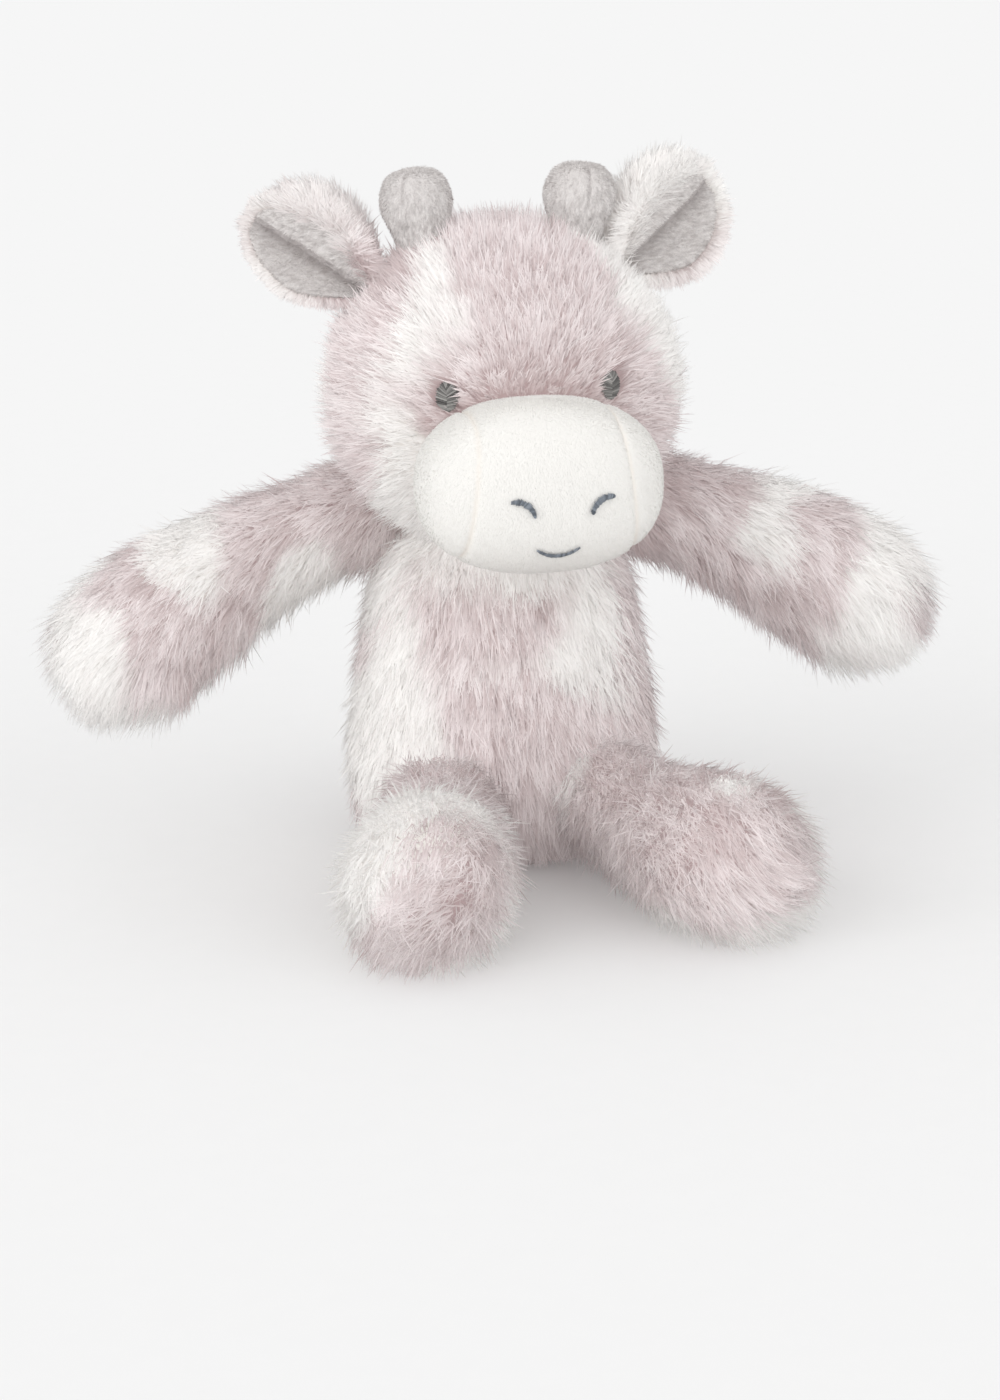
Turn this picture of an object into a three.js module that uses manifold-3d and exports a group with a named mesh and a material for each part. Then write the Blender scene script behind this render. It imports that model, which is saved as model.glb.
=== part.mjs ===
// A seated plush giraffe comforter: a round head with a short-plush muzzle, stub horns and folded
// ears, on a slack body with long floppy arms and legs. Every furry piece is a cover of long-pile
// cloth round loose stuffing, sewn on where it meets the next piece.
// Millimetres, +Z up, face towards -Y, floor at Z = 0 under the middle of the seat.
// Left and right are the toy's own: left is +X.

import * as THREE from 'three';
import { mergeVertices } from 'three/addons/utils/BufferGeometryUtils.js';
import Module from 'manifold-3d';

const wasm = await Module();
wasm.setup();

// Cloth and clearances
const FUR_COVER = 6; // backing and combed pile together
const PLUSH_COVER = 2.5; // short-pile cloth of the muzzle and horns
const SEAM_GAP = 0.3; // between pieces sewn face to face
const JOINT_GAP = 0.8; // between pieces that turn on each other
const FLOOR_FLAT = 0.5; // depth to which a foot settles flat on the floor

// Body
const BODY_WIDTH = 110;
const BODY_DEPTH = 84;
const BODY_HEIGHT = 124; // floor to the top of the shoulders
const BODY_SEAM_BACK = 7; // side seams behind the middle of the seat
const BODY_PROFILE = [ // share of the half width, share of the height
  [0.8, 0],
  [0.97, 0.12],
  [1, 0.3],
  [0.93, 0.55],
  [0.84, 0.8],
  [0.7, 0.93],
  [0.4, 0.99],
  [0, 1],
];
const NECK_RISE = 4; // neck pivot above the shoulders
const NECK_FORWARD = 4; // neck pivot ahead of the middle of the seat
const NECK_RADIUS = 25;
const NECK_THREAD = 3.2; // thickness of the stitched ring
const NECK_OPENING_RISE = 4; // edge of the head's opening above the neck pivot
const NECK_OPENING_RADIUS = 34;

// Head
const HEAD_WIDTH = 124;
const HEAD_DEPTH = 100;
const HEAD_HEIGHT = 112;
const HEAD_ABOVE_NECK = 44;
const HEAD_AHEAD_OF_NECK = 6;
const GUSSET_WIDTH = 32;

// Muzzle
const MUZZLE_WIDTH = 88;
const MUZZLE_DEPTH = 66;
const MUZZLE_HEIGHT = 62;
const MUZZLE_AHEAD = 55; // ahead of the middle of the head
const MUZZLE_DROP = 25; // below the middle of the head
const MUZZLE_ROUNDING = 2.4; // 2 is an ellipsoid, higher is squarer
const MUZZLE_SEAM_SPACING = 54; // between the two seams at mid height
const MUZZLE_SEAM_FLARE = 7; // degrees, each seam leaning out towards the chin

// Face
const EYE_WIDTH = 8.6;
const EYE_HEIGHT = 10;
const EYE_DEPTH = 4.4;
const EYE_SPACING = 57;
const EYE_RISE = 5; // above the middle of the head
const STITCH_WIDTH = 2.4;
const NOSTRIL_SPACING = 28;
const NOSTRIL_RADIUS = 6.2;
const NOSTRIL_DROP = 6; // centre of the arc below the middle of the muzzle
const NOSTRIL_SWEEP = 100; // degrees of arc
const NOSTRIL_LEAN = 35; // degrees that the middle of the arc leans in from upright
const SMILE_RADIUS = 11;
const SMILE_DROP = 8.5; // centre of the arc below the middle of the muzzle
const SMILE_SWEEP = 82; // degrees of arc

// Horns
const HORN_SPACING = 54;
const HORN_BACK = 2; // behind the middle of the head
const HORN_STEM_RADIUS = 8.5;
const HORN_BULB_RADIUS = 14;
const HORN_LENGTH = 33; // from its root, on the head's stuffing, to its top
const HORN_LEAN = 6; // degrees outwards
const HORN_NECK = 1.45; // half-way width, in bulb radii below the top
const HORN_WIDEST = 0.85; // widest place, in bulb radii below the top
const HORN_SHOULDER = 0.76; // width near the top, in bulb radii
const HORN_SHOULDER_DROP = 0.2; // that place, in bulb radii below the top

// Ears
const EAR_LENGTH = 50;
const EAR_WIDTH = 39;
const EAR_THICKNESS = 10;
const EAR_CUP = 8; // how far the long edges curl forwards
const EAR_ROOT_RADIUS = 9;
const EAR_WAIST = 0.56; // width of the leaf at its root, as a share of its full width
const EAR_FULL = 0.55; // share of the length at which it is full
const EAR_SPREAD = 44; // degrees from upright to the root, seen from the front
const EAR_BACK = 7; // behind the middle of the head
const EAR_SINK = 3; // middle of the root below the head's outline
const LINING_LENGTH = 39;
const LINING_WIDTH = 29;
const LINING_THICKNESS = 4;
const LEFT_EAR_RISE = 36; // degrees above level
const RIGHT_EAR_RISE = 21;
const EAR_TURN = 14; // degrees that the cups face outwards

// Arms
const ARM_LENGTH = 124; // shoulder pivot to paw tip
const ARM_ROOT_RADIUS = 18;
const ARM_PAW_RADIUS = 26;
const ARM_FLATNESS = 0.86; // thickness over height
const ARM_PINCH = 0.14; // drawn in past the shoulder, as a share of the radius
const SHOULDER_RISE = 2; // shoulder pivot above the top of the body
const SHOULDER_OUT = 44; // shoulder pivot from the middle of the body
const SHOULDER_BACK = 12;
const ARM_DROOP_START = 12; // degrees below level at the shoulder
const ARM_DROOP_END = 41; // degrees below level at the paw
const ARM_SWEEP = 8; // degrees forwards of straight out
const ARM_DROP = 28; // degrees that it drops from rest before it meets the body
const CHEEK_GAP = 6.5; // room between the head and the top of the shoulder

// Legs
const LEG_LENGTH = 112; // hip pivot to foot tip
const LEG_ROOT_RADIUS = 19;
const LEG_FOOT_RADIUS = 26;
const LEG_PINCH = 0.22; // drawn in past the hip, as a share of the radius
const HIP_SPACING = 60;
const HIP_FORWARD = 34;
const LEG_SPLAY_START = 8; // degrees outwards at the hip
const LEG_SPLAY_END = 26; // degrees outwards at the foot
const LEG_LIFT = 40; // degrees that it lifts from rest before it meets the body

// Tail
const TAIL_LENGTH = 46;
const TAIL_RADIUS = 5.5;
const TAIL_HEIGHT = 40;
const TAIL_DROOP_START = 12; // degrees below level at the root
const TAIL_DROOP_END = 38; // degrees below level at the tuft
const TUFT_LENGTH = 30;
const TUFT_RADIUS = 8.5;
const TAIL_SWING = 28; // degrees to either side

// Facets. Hidden stuffing takes every second one, so that it stays inside its cover.
const ROUND_SIDES = 20;
const ROUND_RINGS = 12;
const LIMB_SIDES = 12;
const LIMB_RINGS = 4;
const SMALL_SIDES = 10;
const SMALL_RINGS = 6;

// Places worked out from the sizes above
const REACH = 1000; // edge of the blocks that cut pieces apart
const neck = new THREE.Vector3(0, -NECK_FORWARD, BODY_HEIGHT + NECK_RISE);
const head = new THREE.Vector3(0, neck.y - HEAD_AHEAD_OF_NECK, neck.z + HEAD_ABOVE_NECK);
const muzzle = new THREE.Vector3(0, head.y - MUZZLE_AHEAD, head.z - MUZZLE_DROP);

const radians = THREE.MathUtils.degToRad;
const toy = new THREE.Group();
const finishes = {
  fur: { color: 0xdccfd2, roughness: 0.95 },
  muzzlePlush: { color: 0xf5f2ec, roughness: 0.9 },
  greyPlush: { color: 0xbdb9b9, roughness: 0.9 },
  thread: { color: 0x5a6068, roughness: 0.7 },
  seamThread: { color: 0xe4dcdd, roughness: 0.8 },
  stuffing: { color: 0xf8f8f6, roughness: 1 },
};

// Moves every point of a geometry.
function shaped(geometry, move) {
  const places = geometry.attributes.position;
  const point = new THREE.Vector3();
  for (let i = 0; i < places.count; i += 1) {
    point.fromBufferAttribute(places, i);
    move(point);
    places.setXYZ(i, point.x, point.y, point.z);
  }
  return geometry;
}

// Six times the volume inside a closed mesh, negative where its faces point inwards.
function signedVolume(places, triangles) {
  const [a, b, c] = [new THREE.Vector3(), new THREE.Vector3(), new THREE.Vector3()];
  let total = 0;
  for (let i = 0; i < triangles.length; i += 3) {
    a.fromArray(places, 3 * triangles[i]);
    b.fromArray(places, 3 * triangles[i + 1]);
    c.fromArray(places, 3 * triangles[i + 2]);
    total += a.dot(b.cross(c));
  }
  return total;
}

// A closed geometry as a solid that can be joined and cut, with its faces pointing outwards.
function solid(geometry) {
  geometry.deleteAttribute('normal');
  geometry.deleteAttribute('uv');
  const merged = mergeVertices(geometry, 1e-4);
  const corners = merged.index.array;
  const places = new Float32Array(merged.attributes.position.array);
  const triangles = [];
  for (let i = 0; i < corners.length; i += 3) {
    const [a, b, c] = corners.slice(i, i + 3);
    if (a !== b && b !== c && c !== a) {
      triangles.push(a, b, c);
    }
  }
  if (signedVolume(places, triangles) < 0) {
    triangles.reverse();
  }
  const triVerts = new Uint32Array(triangles);
  return new wasm.Manifold(new wasm.Mesh({ numProp: 3, vertProperties: places, triVerts }));
}

// Adds a solid to the toy as a named piece.
function add(name, shape, finish) {
  const { vertProperties, triVerts } = shape.getMesh();
  const geometry = new THREE.BufferGeometry();
  geometry.setAttribute('position', new THREE.BufferAttribute(vertProperties, 3));
  geometry.setIndex(new THREE.BufferAttribute(triVerts, 1));
  geometry.computeVertexNormals();
  const mesh = new THREE.Mesh(geometry, new THREE.MeshStandardMaterial(finishes[finish]));
  mesh.name = name;
  toy.add(mesh);
}

// A block between two corners. What isn't given reaches past the toy.
function block({ x = [-REACH, REACH], y = [-REACH, REACH], z = [-REACH, REACH] }) {
  const box = new THREE.BoxGeometry(x[1] - x[0], y[1] - y[0], z[1] - z[0]);
  return solid(box.translate((x[0] + x[1]) / 2, (y[0] + y[1]) / 2, (z[0] + z[1]) / 2));
}

function ball(centre, radius, sides = SMALL_SIDES, rings = SMALL_RINGS) {
  const sphere = new THREE.SphereGeometry(radius, sides, rings);
  return solid(sphere.rotateX(Math.PI / 2).translate(centre.x, centre.y, centre.z));
}

// A solid turned about an axis through a point.
function swung(shape, pivot, axis, degrees) {
  const turn = new THREE.Matrix4().makeRotationAxis(axis, radians(degrees));
  const back = new THREE.Matrix4().makeTranslation(pivot.clone().negate());
  turn.premultiply(new THREE.Matrix4().makeTranslation(pivot)).multiply(back);
  return shape.transform(turn.elements);
}

// The cloth between an outline and the same outline drawn in by the cloth's thickness.
function shell(form, thickness) {
  return form(0).subtract(form(-thickness));
}

function neckBall(grow) {
  return ball(neck, NECK_RADIUS + grow, ROUND_SIDES, ROUND_RINGS);
}

// The space that the head leaves round the neck, so that it can turn and nod there.
function neckRoom() {
  const height = BODY_HEIGHT;
  const room = new THREE.CylinderGeometry(NECK_OPENING_RADIUS, NECK_OPENING_RADIUS, height, ROUND_SIDES);
  room.rotateX(Math.PI / 2).translate(neck.x, neck.y, neck.z + NECK_OPENING_RISE - height / 2);
  return solid(room).add(neckBall(JOINT_GAP));
}

// The body's outline: flat under the seat, widest low down, drawn in to the shoulders.
function bodyForm(grow, step = 1) {
  const outline = new THREE.SplineCurve(BODY_PROFILE.map((share) => new THREE.Vector2(...share)));
  const profile = [new THREE.Vector2(0, 0), ...outline.getPoints(ROUND_RINGS / step)];
  profile[profile.length - 1].x = 0;
  const lathe = new THREE.LatheGeometry(profile, ROUND_SIDES / step);
  return solid(shaped(lathe, (p) => {
    const share = p.y;
    p.set(
      p.x * (BODY_WIDTH / 2 + grow),
      p.z * (BODY_DEPTH / 2 + grow),
      share * (BODY_HEIGHT + 2 * grow) - grow,
    );
  }));
}

// A sphere of unit size with its poles up and down.
function roundForm(step) {
  const sphere = new THREE.SphereGeometry(1, ROUND_SIDES / step, ROUND_RINGS / step);
  return sphere.rotateX(Math.PI / 2);
}

function headForm(grow, step = 1) {
  const sphere = roundForm(step);
  sphere.scale(HEAD_WIDTH / 2 + grow, HEAD_DEPTH / 2 + grow, HEAD_HEIGHT / 2 + grow);
  return solid(sphere.translate(head.x, head.y, head.z));
}

// Share of the head's half size, along the third axis, that is left at two shares of the others.
function headShare(first, second) {
  return Math.sqrt(1 - first ** 2 - second ** 2);
}

function muzzleForm(grow, step = 1) {
  const form = shaped(roundForm(step), (p) => {
    const sum = [p.x, p.y, p.z].reduce((total, v) => total + Math.abs(v) ** MUZZLE_ROUNDING, 0);
    p.multiplyScalar(sum ** (-1 / MUZZLE_ROUNDING));
  });
  form.scale(MUZZLE_WIDTH / 2 + grow, MUZZLE_DEPTH / 2 + grow, MUZZLE_HEIGHT / 2 + grow);
  return solid(form.translate(muzzle.x, muzzle.y, muzzle.z));
}

// A point on the front of the muzzle, from its place across and its height.
function onMuzzle(x, z) {
  const across = Math.abs(x / (MUZZLE_WIDTH / 2)) ** MUZZLE_ROUNDING;
  const up = Math.abs(z / (MUZZLE_HEIGHT / 2)) ** MUZZLE_ROUNDING;
  const ahead = (1 - across - up) ** (1 / MUZZLE_ROUNDING) * (MUZZLE_DEPTH / 2);
  return new THREE.Vector3(muzzle.x + x, muzzle.y - ahead, muzzle.z + z);
}

// The space between the muzzle's two seams, which lean out towards the chin.
function betweenMuzzleSeams(grow) {
  const lean = Math.tan(THREE.MathUtils.degToRad(MUZZLE_SEAM_FLARE)) * MUZZLE_HEIGHT;
  const middle = MUZZLE_SEAM_SPACING / 2 + grow;
  const outline = new THREE.Shape([
    new THREE.Vector2(-middle - lean, -MUZZLE_HEIGHT),
    new THREE.Vector2(middle + lean, -MUZZLE_HEIGHT),
    new THREE.Vector2(middle - lean, MUZZLE_HEIGHT),
    new THREE.Vector2(-middle + lean, MUZZLE_HEIGHT),
  ]);
  const depth = 2 * MUZZLE_DEPTH;
  const prism = new THREE.ExtrudeGeometry(outline, { depth, bevelEnabled: false });
  return solid(prism.rotateX(Math.PI / 2).translate(muzzle.x, muzzle.y + depth / 2, muzzle.z));
}

// A stuffed limb along a bent spine: a ball at its root, a slight pinch at the seam, then a swell to
// a round end. Ahead and aside span the plane of the bend, and angles turn from ahead to aside.
function limbForm(limb, grow, step = 1) {
  const root = limb.rootRadius + grow;
  const end = limb.endRadius + grow;
  const straight = limb.length + grow - end;
  const profile = [];
  for (let i = 0; i <= LIMB_RINGS; i += 1) {
    const turn = (i / LIMB_RINGS) * (Math.PI / 2);
    profile.push(new THREE.Vector2(root * Math.sin(turn), -root * Math.cos(turn)));
  }
  for (let i = 1; i < LIMB_RINGS; i += 1) {
    const share = i / LIMB_RINGS;
    const swell = THREE.MathUtils.smoothstep(share, 0, 1);
    const pinch = 1 - limb.pinch * Math.sin(Math.PI * share) ** 2 * (1 - share);
    profile.push(new THREE.Vector2((root + (end - root) * swell) * pinch, straight * share));
  }
  for (let i = 0; i <= LIMB_RINGS; i += 1) {
    const turn = (i / LIMB_RINGS) * (Math.PI / 2);
    profile.push(new THREE.Vector2(end * Math.cos(turn), straight + end * Math.sin(turn)));
  }
  profile[0].x = 0;
  profile[profile.length - 1].x = 0;
  const bend = (limb.endAngle - limb.startAngle) / limb.length;
  const side = new THREE.Vector3().crossVectors(limb.aside, limb.ahead);
  return solid(shaped(new THREE.LatheGeometry(profile, limb.sides / step), (p) => {
    const along = Math.max(p.y, 0);
    const angle = limb.startAngle + bend * along;
    const tangent = limb.ahead.clone().multiplyScalar(Math.cos(angle));
    tangent.addScaledVector(limb.aside, Math.sin(angle));
    const normal = limb.aside.clone().multiplyScalar(Math.cos(angle));
    normal.addScaledVector(limb.ahead, -Math.sin(angle));
    const ahead = (Math.sin(angle) - Math.sin(limb.startAngle)) / bend;
    const aside = (Math.cos(limb.startAngle) - Math.cos(angle)) / bend;
    const place = limb.root.clone().addScaledVector(limb.ahead, ahead);
    place.addScaledVector(limb.aside, aside);
    place.addScaledVector(tangent, Math.min(p.y, 0));
    place.addScaledVector(normal, p.x).addScaledVector(side, p.z * limb.flatness);
    p.copy(place);
  }));
}

const sides = [
  { name: 'left', sign: 1, earRise: LEFT_EAR_RISE },
  { name: 'right', sign: -1, earRise: RIGHT_EAR_RISE },
];

function arm(side) {
  const sweep = radians(ARM_SWEEP);
  return {
    root: new THREE.Vector3(side.sign * SHOULDER_OUT, SHOULDER_BACK, BODY_HEIGHT + SHOULDER_RISE),
    ahead: new THREE.Vector3(side.sign * Math.cos(sweep), -Math.sin(sweep), 0),
    aside: new THREE.Vector3(0, 0, -1),
    startAngle: radians(ARM_DROOP_START),
    endAngle: radians(ARM_DROOP_END),
    length: ARM_LENGTH,
    rootRadius: ARM_ROOT_RADIUS,
    endRadius: ARM_PAW_RADIUS,
    flatness: ARM_FLATNESS,
    pinch: ARM_PINCH,
    sides: LIMB_SIDES,
    hinge: new THREE.Vector3(side.sign * Math.sin(sweep), Math.cos(sweep), 0),
    swings: [0, side.sign * ARM_DROP],
  };
}

function leg(side) {
  return {
    root: new THREE.Vector3(
      (side.sign * HIP_SPACING) / 2,
      -HIP_FORWARD,
      LEG_FOOT_RADIUS - FLOOR_FLAT,
    ),
    ahead: new THREE.Vector3(0, -1, 0),
    aside: new THREE.Vector3(side.sign, 0, 0),
    startAngle: radians(LEG_SPLAY_START),
    endAngle: radians(LEG_SPLAY_END),
    length: LEG_LENGTH,
    rootRadius: LEG_ROOT_RADIUS,
    endRadius: LEG_FOOT_RADIUS,
    flatness: 1,
    pinch: LEG_PINCH,
    sides: LIMB_SIDES,
    hinge: new THREE.Vector3(1, 0, 0),
    swings: [0, -LEG_LIFT],
  };
}

const tail = {
  root: new THREE.Vector3(0, BODY_DEPTH / 2 + FUR_COVER / 2 - TAIL_RADIUS, TAIL_HEIGHT),
  ahead: new THREE.Vector3(0, 1, 0),
  aside: new THREE.Vector3(0, 0, -1),
  startAngle: radians(TAIL_DROOP_START),
  endAngle: radians(TAIL_DROOP_END),
  length: TAIL_LENGTH,
  rootRadius: TAIL_RADIUS,
  endRadius: TAIL_RADIUS,
  flatness: 1,
  pinch: 0,
  sides: SMALL_SIDES,
  hinge: new THREE.Vector3(0, 0, 1),
  swings: [-TAIL_SWING, 0, TAIL_SWING],
};

// The middle of a horn's root, under the head's pile.
function hornRoot(side) {
  const x = (side.sign * HORN_SPACING) / 2;
  const up = headShare(x / (HEAD_WIDTH / 2), HORN_BACK / (HEAD_DEPTH / 2)) * (HEAD_HEIGHT / 2);
  return new THREE.Vector3(head.x + x, head.y + HORN_BACK, head.z + up - FUR_COVER);
}

// A horn's outline: a short stem and a bulb, leaning outwards.
function hornForm(side, grow) {
  const stem = HORN_STEM_RADIUS + grow;
  const bulb = HORN_BULB_RADIUS + grow;
  const top = HORN_LENGTH + grow;
  const outline = new THREE.SplineCurve([
    new THREE.Vector2(stem, 0),
    new THREE.Vector2((stem + bulb) / 2, top - HORN_NECK * bulb),
    new THREE.Vector2(bulb, top - HORN_WIDEST * bulb),
    new THREE.Vector2(HORN_SHOULDER * bulb, top - HORN_SHOULDER_DROP * bulb),
    new THREE.Vector2(0, top),
  ]);
  const profile = [
    new THREE.Vector2(0, -HORN_BULB_RADIUS),
    new THREE.Vector2(stem, -HORN_BULB_RADIUS),
    ...outline.getPoints(SMALL_RINGS),
  ];
  profile[profile.length - 1].x = 0;
  const root = hornRoot(side);
  const lathe = new THREE.LatheGeometry(profile, SMALL_SIDES).rotateX(Math.PI / 2);
  lathe.rotateY(side.sign * radians(HORN_LEAN));
  return solid(lathe.translate(root.x, root.y, root.z));
}

// The middle of an ear's root, sunk under the head's outline.
function earRoot(side) {
  const spread = radians(EAR_SPREAD);
  const x = side.sign * Math.sin(spread) * (HEAD_WIDTH / 2 - EAR_SINK);
  const z = Math.cos(spread) * (HEAD_HEIGHT / 2 - EAR_SINK);
  return new THREE.Vector3(head.x + x, head.y + EAR_BACK, head.z + z);
}

// A leaf that lies from its root along +X, its long edges curled towards -Y, put at an ear's place.
function leaf(side, { start, length, width, thickness, ahead }) {
  const sphere = new THREE.SphereGeometry(1, LIMB_SIDES, SMALL_SIDES).rotateZ(-Math.PI / 2);
  const leafShape = shaped(sphere, (p) => {
    const along = (p.x + 1) / 2;
    const swell = THREE.MathUtils.smoothstep(along, 0, EAR_FULL);
    const taper = THREE.MathUtils.lerp(EAR_WAIST, 1, swell);
    const across = p.z * taper * (width / 2);
    const curl = EAR_CUP * (across / (EAR_WIDTH / 2)) ** 2;
    const depth = Math.sign(p.y) * Math.sqrt(Math.abs(p.y)) * (thickness / 2);
    p.set(side.sign * (start + along * length), depth - ahead - curl, across);
  });
  const root = earRoot(side);
  leafShape.rotateZ(side.sign * radians(EAR_TURN));
  leafShape.rotateY(-side.sign * radians(side.earRise));
  return solid(leafShape.translate(root.x, root.y, root.z));
}

function earForm(side) {
  const sizes = { start: 0, length: EAR_LENGTH, width: EAR_WIDTH, thickness: EAR_THICKNESS, ahead: 0 };
  return leaf(side, sizes).add(ball(earRoot(side), EAR_ROOT_RADIUS));
}

function liningForm(side, grow) {
  const rim = EAR_LENGTH - LINING_LENGTH;
  return leaf(side, {
    start: rim / 2 - grow,
    length: LINING_LENGTH + 2 * grow,
    width: LINING_WIDTH + 2 * grow,
    thickness: LINING_THICKNESS + 2 * grow,
    ahead: (EAR_THICKNESS - LINING_THICKNESS) / 2 + SEAM_GAP,
  });
}

// A satin-stitched oval on the head, square to the face there.
function eyeForm(side, grow) {
  const x = (side.sign * EYE_SPACING) / 2;
  const halfWidth = HEAD_WIDTH / 2;
  const halfDepth = HEAD_DEPTH / 2;
  const ahead = headShare(x / halfWidth, EYE_RISE / (HEAD_HEIGHT / 2)) * halfDepth;
  const facing = Math.atan2(x / halfWidth ** 2, ahead / halfDepth ** 2);
  const sphere = new THREE.SphereGeometry(1, SMALL_SIDES, SMALL_RINGS);
  sphere.scale(EYE_WIDTH / 2 + grow, EYE_DEPTH / 2 + grow, EYE_HEIGHT / 2 + grow);
  sphere.rotateZ(facing);
  return solid(sphere.translate(head.x + x, head.y - ahead, head.z + EYE_RISE));
}

// A row of stitches along an arc on the muzzle. Angles run anticlockwise from +X, seen from ahead.
function stitchArc({ x, z, radius, from, to }, grow) {
  const points = [];
  const extra = grow / radius;
  for (let i = 0; i <= SMALL_RINGS; i += 1) {
    const angle = THREE.MathUtils.lerp(from - extra, to + extra, i / SMALL_RINGS);
    points.push(onMuzzle(x + radius * Math.cos(angle), z + radius * Math.sin(angle)));
  }
  const section = new THREE.Shape().absarc(0, 0, STITCH_WIDTH / 2 + grow, 0, 2 * Math.PI);
  return solid(new THREE.ExtrudeGeometry(section, {
    extrudePath: new THREE.CatmullRomCurve3(points),
    steps: SMALL_RINGS,
    curveSegments: LIMB_RINGS,
    bevelEnabled: false,
  }));
}

// The three stitched arcs of the face: two nostrils that fall towards the middle, and a smile.
const faceArcs = [
  {
    name: 'left_nostril',
    x: NOSTRIL_SPACING / 2 + NOSTRIL_RADIUS / 2,
    z: -NOSTRIL_DROP,
    radius: NOSTRIL_RADIUS,
    from: radians(90 + NOSTRIL_LEAN - NOSTRIL_SWEEP / 2),
    to: radians(90 + NOSTRIL_LEAN + NOSTRIL_SWEEP / 2),
  },
  {
    name: 'right_nostril',
    x: -NOSTRIL_SPACING / 2 - NOSTRIL_RADIUS / 2,
    z: -NOSTRIL_DROP,
    radius: NOSTRIL_RADIUS,
    from: radians(90 - NOSTRIL_LEAN - NOSTRIL_SWEEP / 2),
    to: radians(90 - NOSTRIL_LEAN + NOSTRIL_SWEEP / 2),
  },
  {
    name: 'smile',
    x: 0,
    z: -SMILE_DROP,
    radius: SMILE_RADIUS,
    from: radians(270 - SMILE_SWEEP / 2),
    to: radians(270 + SMILE_SWEEP / 2),
  },
];

// The head's furry cover: two side panels and a gusset over the crown, open at the muzzle and neck.
function addHeadPanels() {
  let cover = shell(headForm, FUR_COVER)
    .subtract(muzzleForm(SEAM_GAP))
    .subtract(neckBall(JOINT_GAP))
    .subtract(block({ z: [-REACH, neck.z + NECK_OPENING_RISE] }));
  for (const side of sides) {
    cover = cover
      .subtract(eyeForm(side, SEAM_GAP))
      .subtract(ball(earRoot(side), EAR_ROOT_RADIUS + JOINT_GAP));
  }
  const seam = GUSSET_WIDTH / 2;
  const chin = block({ y: [-REACH, neck.y], z: [-REACH, muzzle.z] });
  const gusset = cover.intersect(block({ x: [-seam, seam] })).subtract(chin);
  add('head_crown_gusset', gusset, 'fur');
  add('head_left_panel', cover.intersect(block({ x: [seam + SEAM_GAP, REACH] })), 'fur');
  add('head_right_panel', cover.intersect(block({ x: [-REACH, -seam - SEAM_GAP] })), 'fur');
}

// The muzzle's cover ends inside the head's cover, where it is sewn in.
function addMuzzlePanels() {
  let cover = shell(muzzleForm, PLUSH_COVER)
    .subtract(headForm(-FUR_COVER))
    .subtract(neckRoom());
  for (const arc of faceArcs) {
    cover = cover.subtract(stitchArc(arc, SEAM_GAP));
  }
  add('muzzle_center_panel', cover.intersect(betweenMuzzleSeams(0)), 'muzzlePlush');
  const flanks = cover.subtract(betweenMuzzleSeams(SEAM_GAP));
  add('muzzle_left_panel', flanks.intersect(block({ x: [0, REACH] })), 'muzzlePlush');
  add('muzzle_right_panel', flanks.intersect(block({ x: [-REACH, 0] })), 'muzzlePlush');
}

// One mass of stuffing fills the head and the muzzle, dented by the neck and the ears.
function addHeadStuffing() {
  let filling = headForm(-FUR_COVER - SEAM_GAP, 2)
    .add(muzzleForm(-PLUSH_COVER - SEAM_GAP, 2))
    .subtract(neckRoom())
    .subtract(block({ z: [-REACH, neck.z + NECK_OPENING_RISE], y: [neck.y, REACH] }));
  for (const side of sides) {
    filling = filling
      .subtract(eyeForm(side, SEAM_GAP))
      .subtract(ball(earRoot(side), EAR_ROOT_RADIUS + JOINT_GAP));
  }
  add('head_stuffing', filling, 'stuffing');
}

function addFace() {
  for (const side of sides) {
    add(`${side.name}_eye`, eyeForm(side, 0), 'thread');
  }
  for (const arc of faceArcs) {
    add(arc.name, stitchArc(arc, 0), 'thread');
  }
}

function addHorn(side) {
  const form = (grow) => hornForm(side, grow);
  const seat = headForm(SEAM_GAP);
  add(`${side.name}_horn_cover`, shell(form, PLUSH_COVER).subtract(seat), 'greyPlush');
  add(`${side.name}_horn_stuffing`, form(-PLUSH_COVER - SEAM_GAP).subtract(seat), 'stuffing');
}

function addEar(side) {
  const back = earForm(side)
    .subtract(liningForm(side, SEAM_GAP))
    .subtract(headForm(SEAM_GAP).subtract(ball(earRoot(side), EAR_ROOT_RADIUS)));
  add(`${side.name}_ear_back`, back, 'fur');
  add(`${side.name}_ear_lining`, liningForm(side, 0).subtract(headForm(SEAM_GAP)), 'greyPlush');
}

// A limb's cover is two panels sewn round its edge, with loose stuffing inside.
function addLimb(name, limb, cuts, panels) {
  const trim = (shape) => cuts.reduce((left, cut) => left.subtract(cut), shape);
  const cover = trim(shell((grow) => limbForm(limb, grow), FUR_COVER));
  for (const { part, half } of panels) {
    add(`${name}_${part}_panel`, cover.intersect(half), 'fur');
  }
  add(`${name}_stuffing`, trim(limbForm(limb, -FUR_COVER - SEAM_GAP, 2)), 'stuffing');
}

// An arm leaves room under the head, at rest and as far as it drops.
function addArm(side) {
  const limb = arm(side);
  const cheeks = limb.swings.map((degrees) => (
    swung(headForm(CHEEK_GAP), limb.root, limb.hinge, -degrees)
  ));
  const turned = (half) => (
    half.rotate([0, 0, -side.sign * ARM_SWEEP]).translate(limb.root.toArray())
  );
  addLimb(`${side.name}_arm`, limb, cheeks, [
    { part: 'front', half: turned(block({ y: [-REACH, -SEAM_GAP / 2] })) },
    { part: 'back', half: turned(block({ y: [SEAM_GAP / 2, REACH] })) },
  ]);
}

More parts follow.
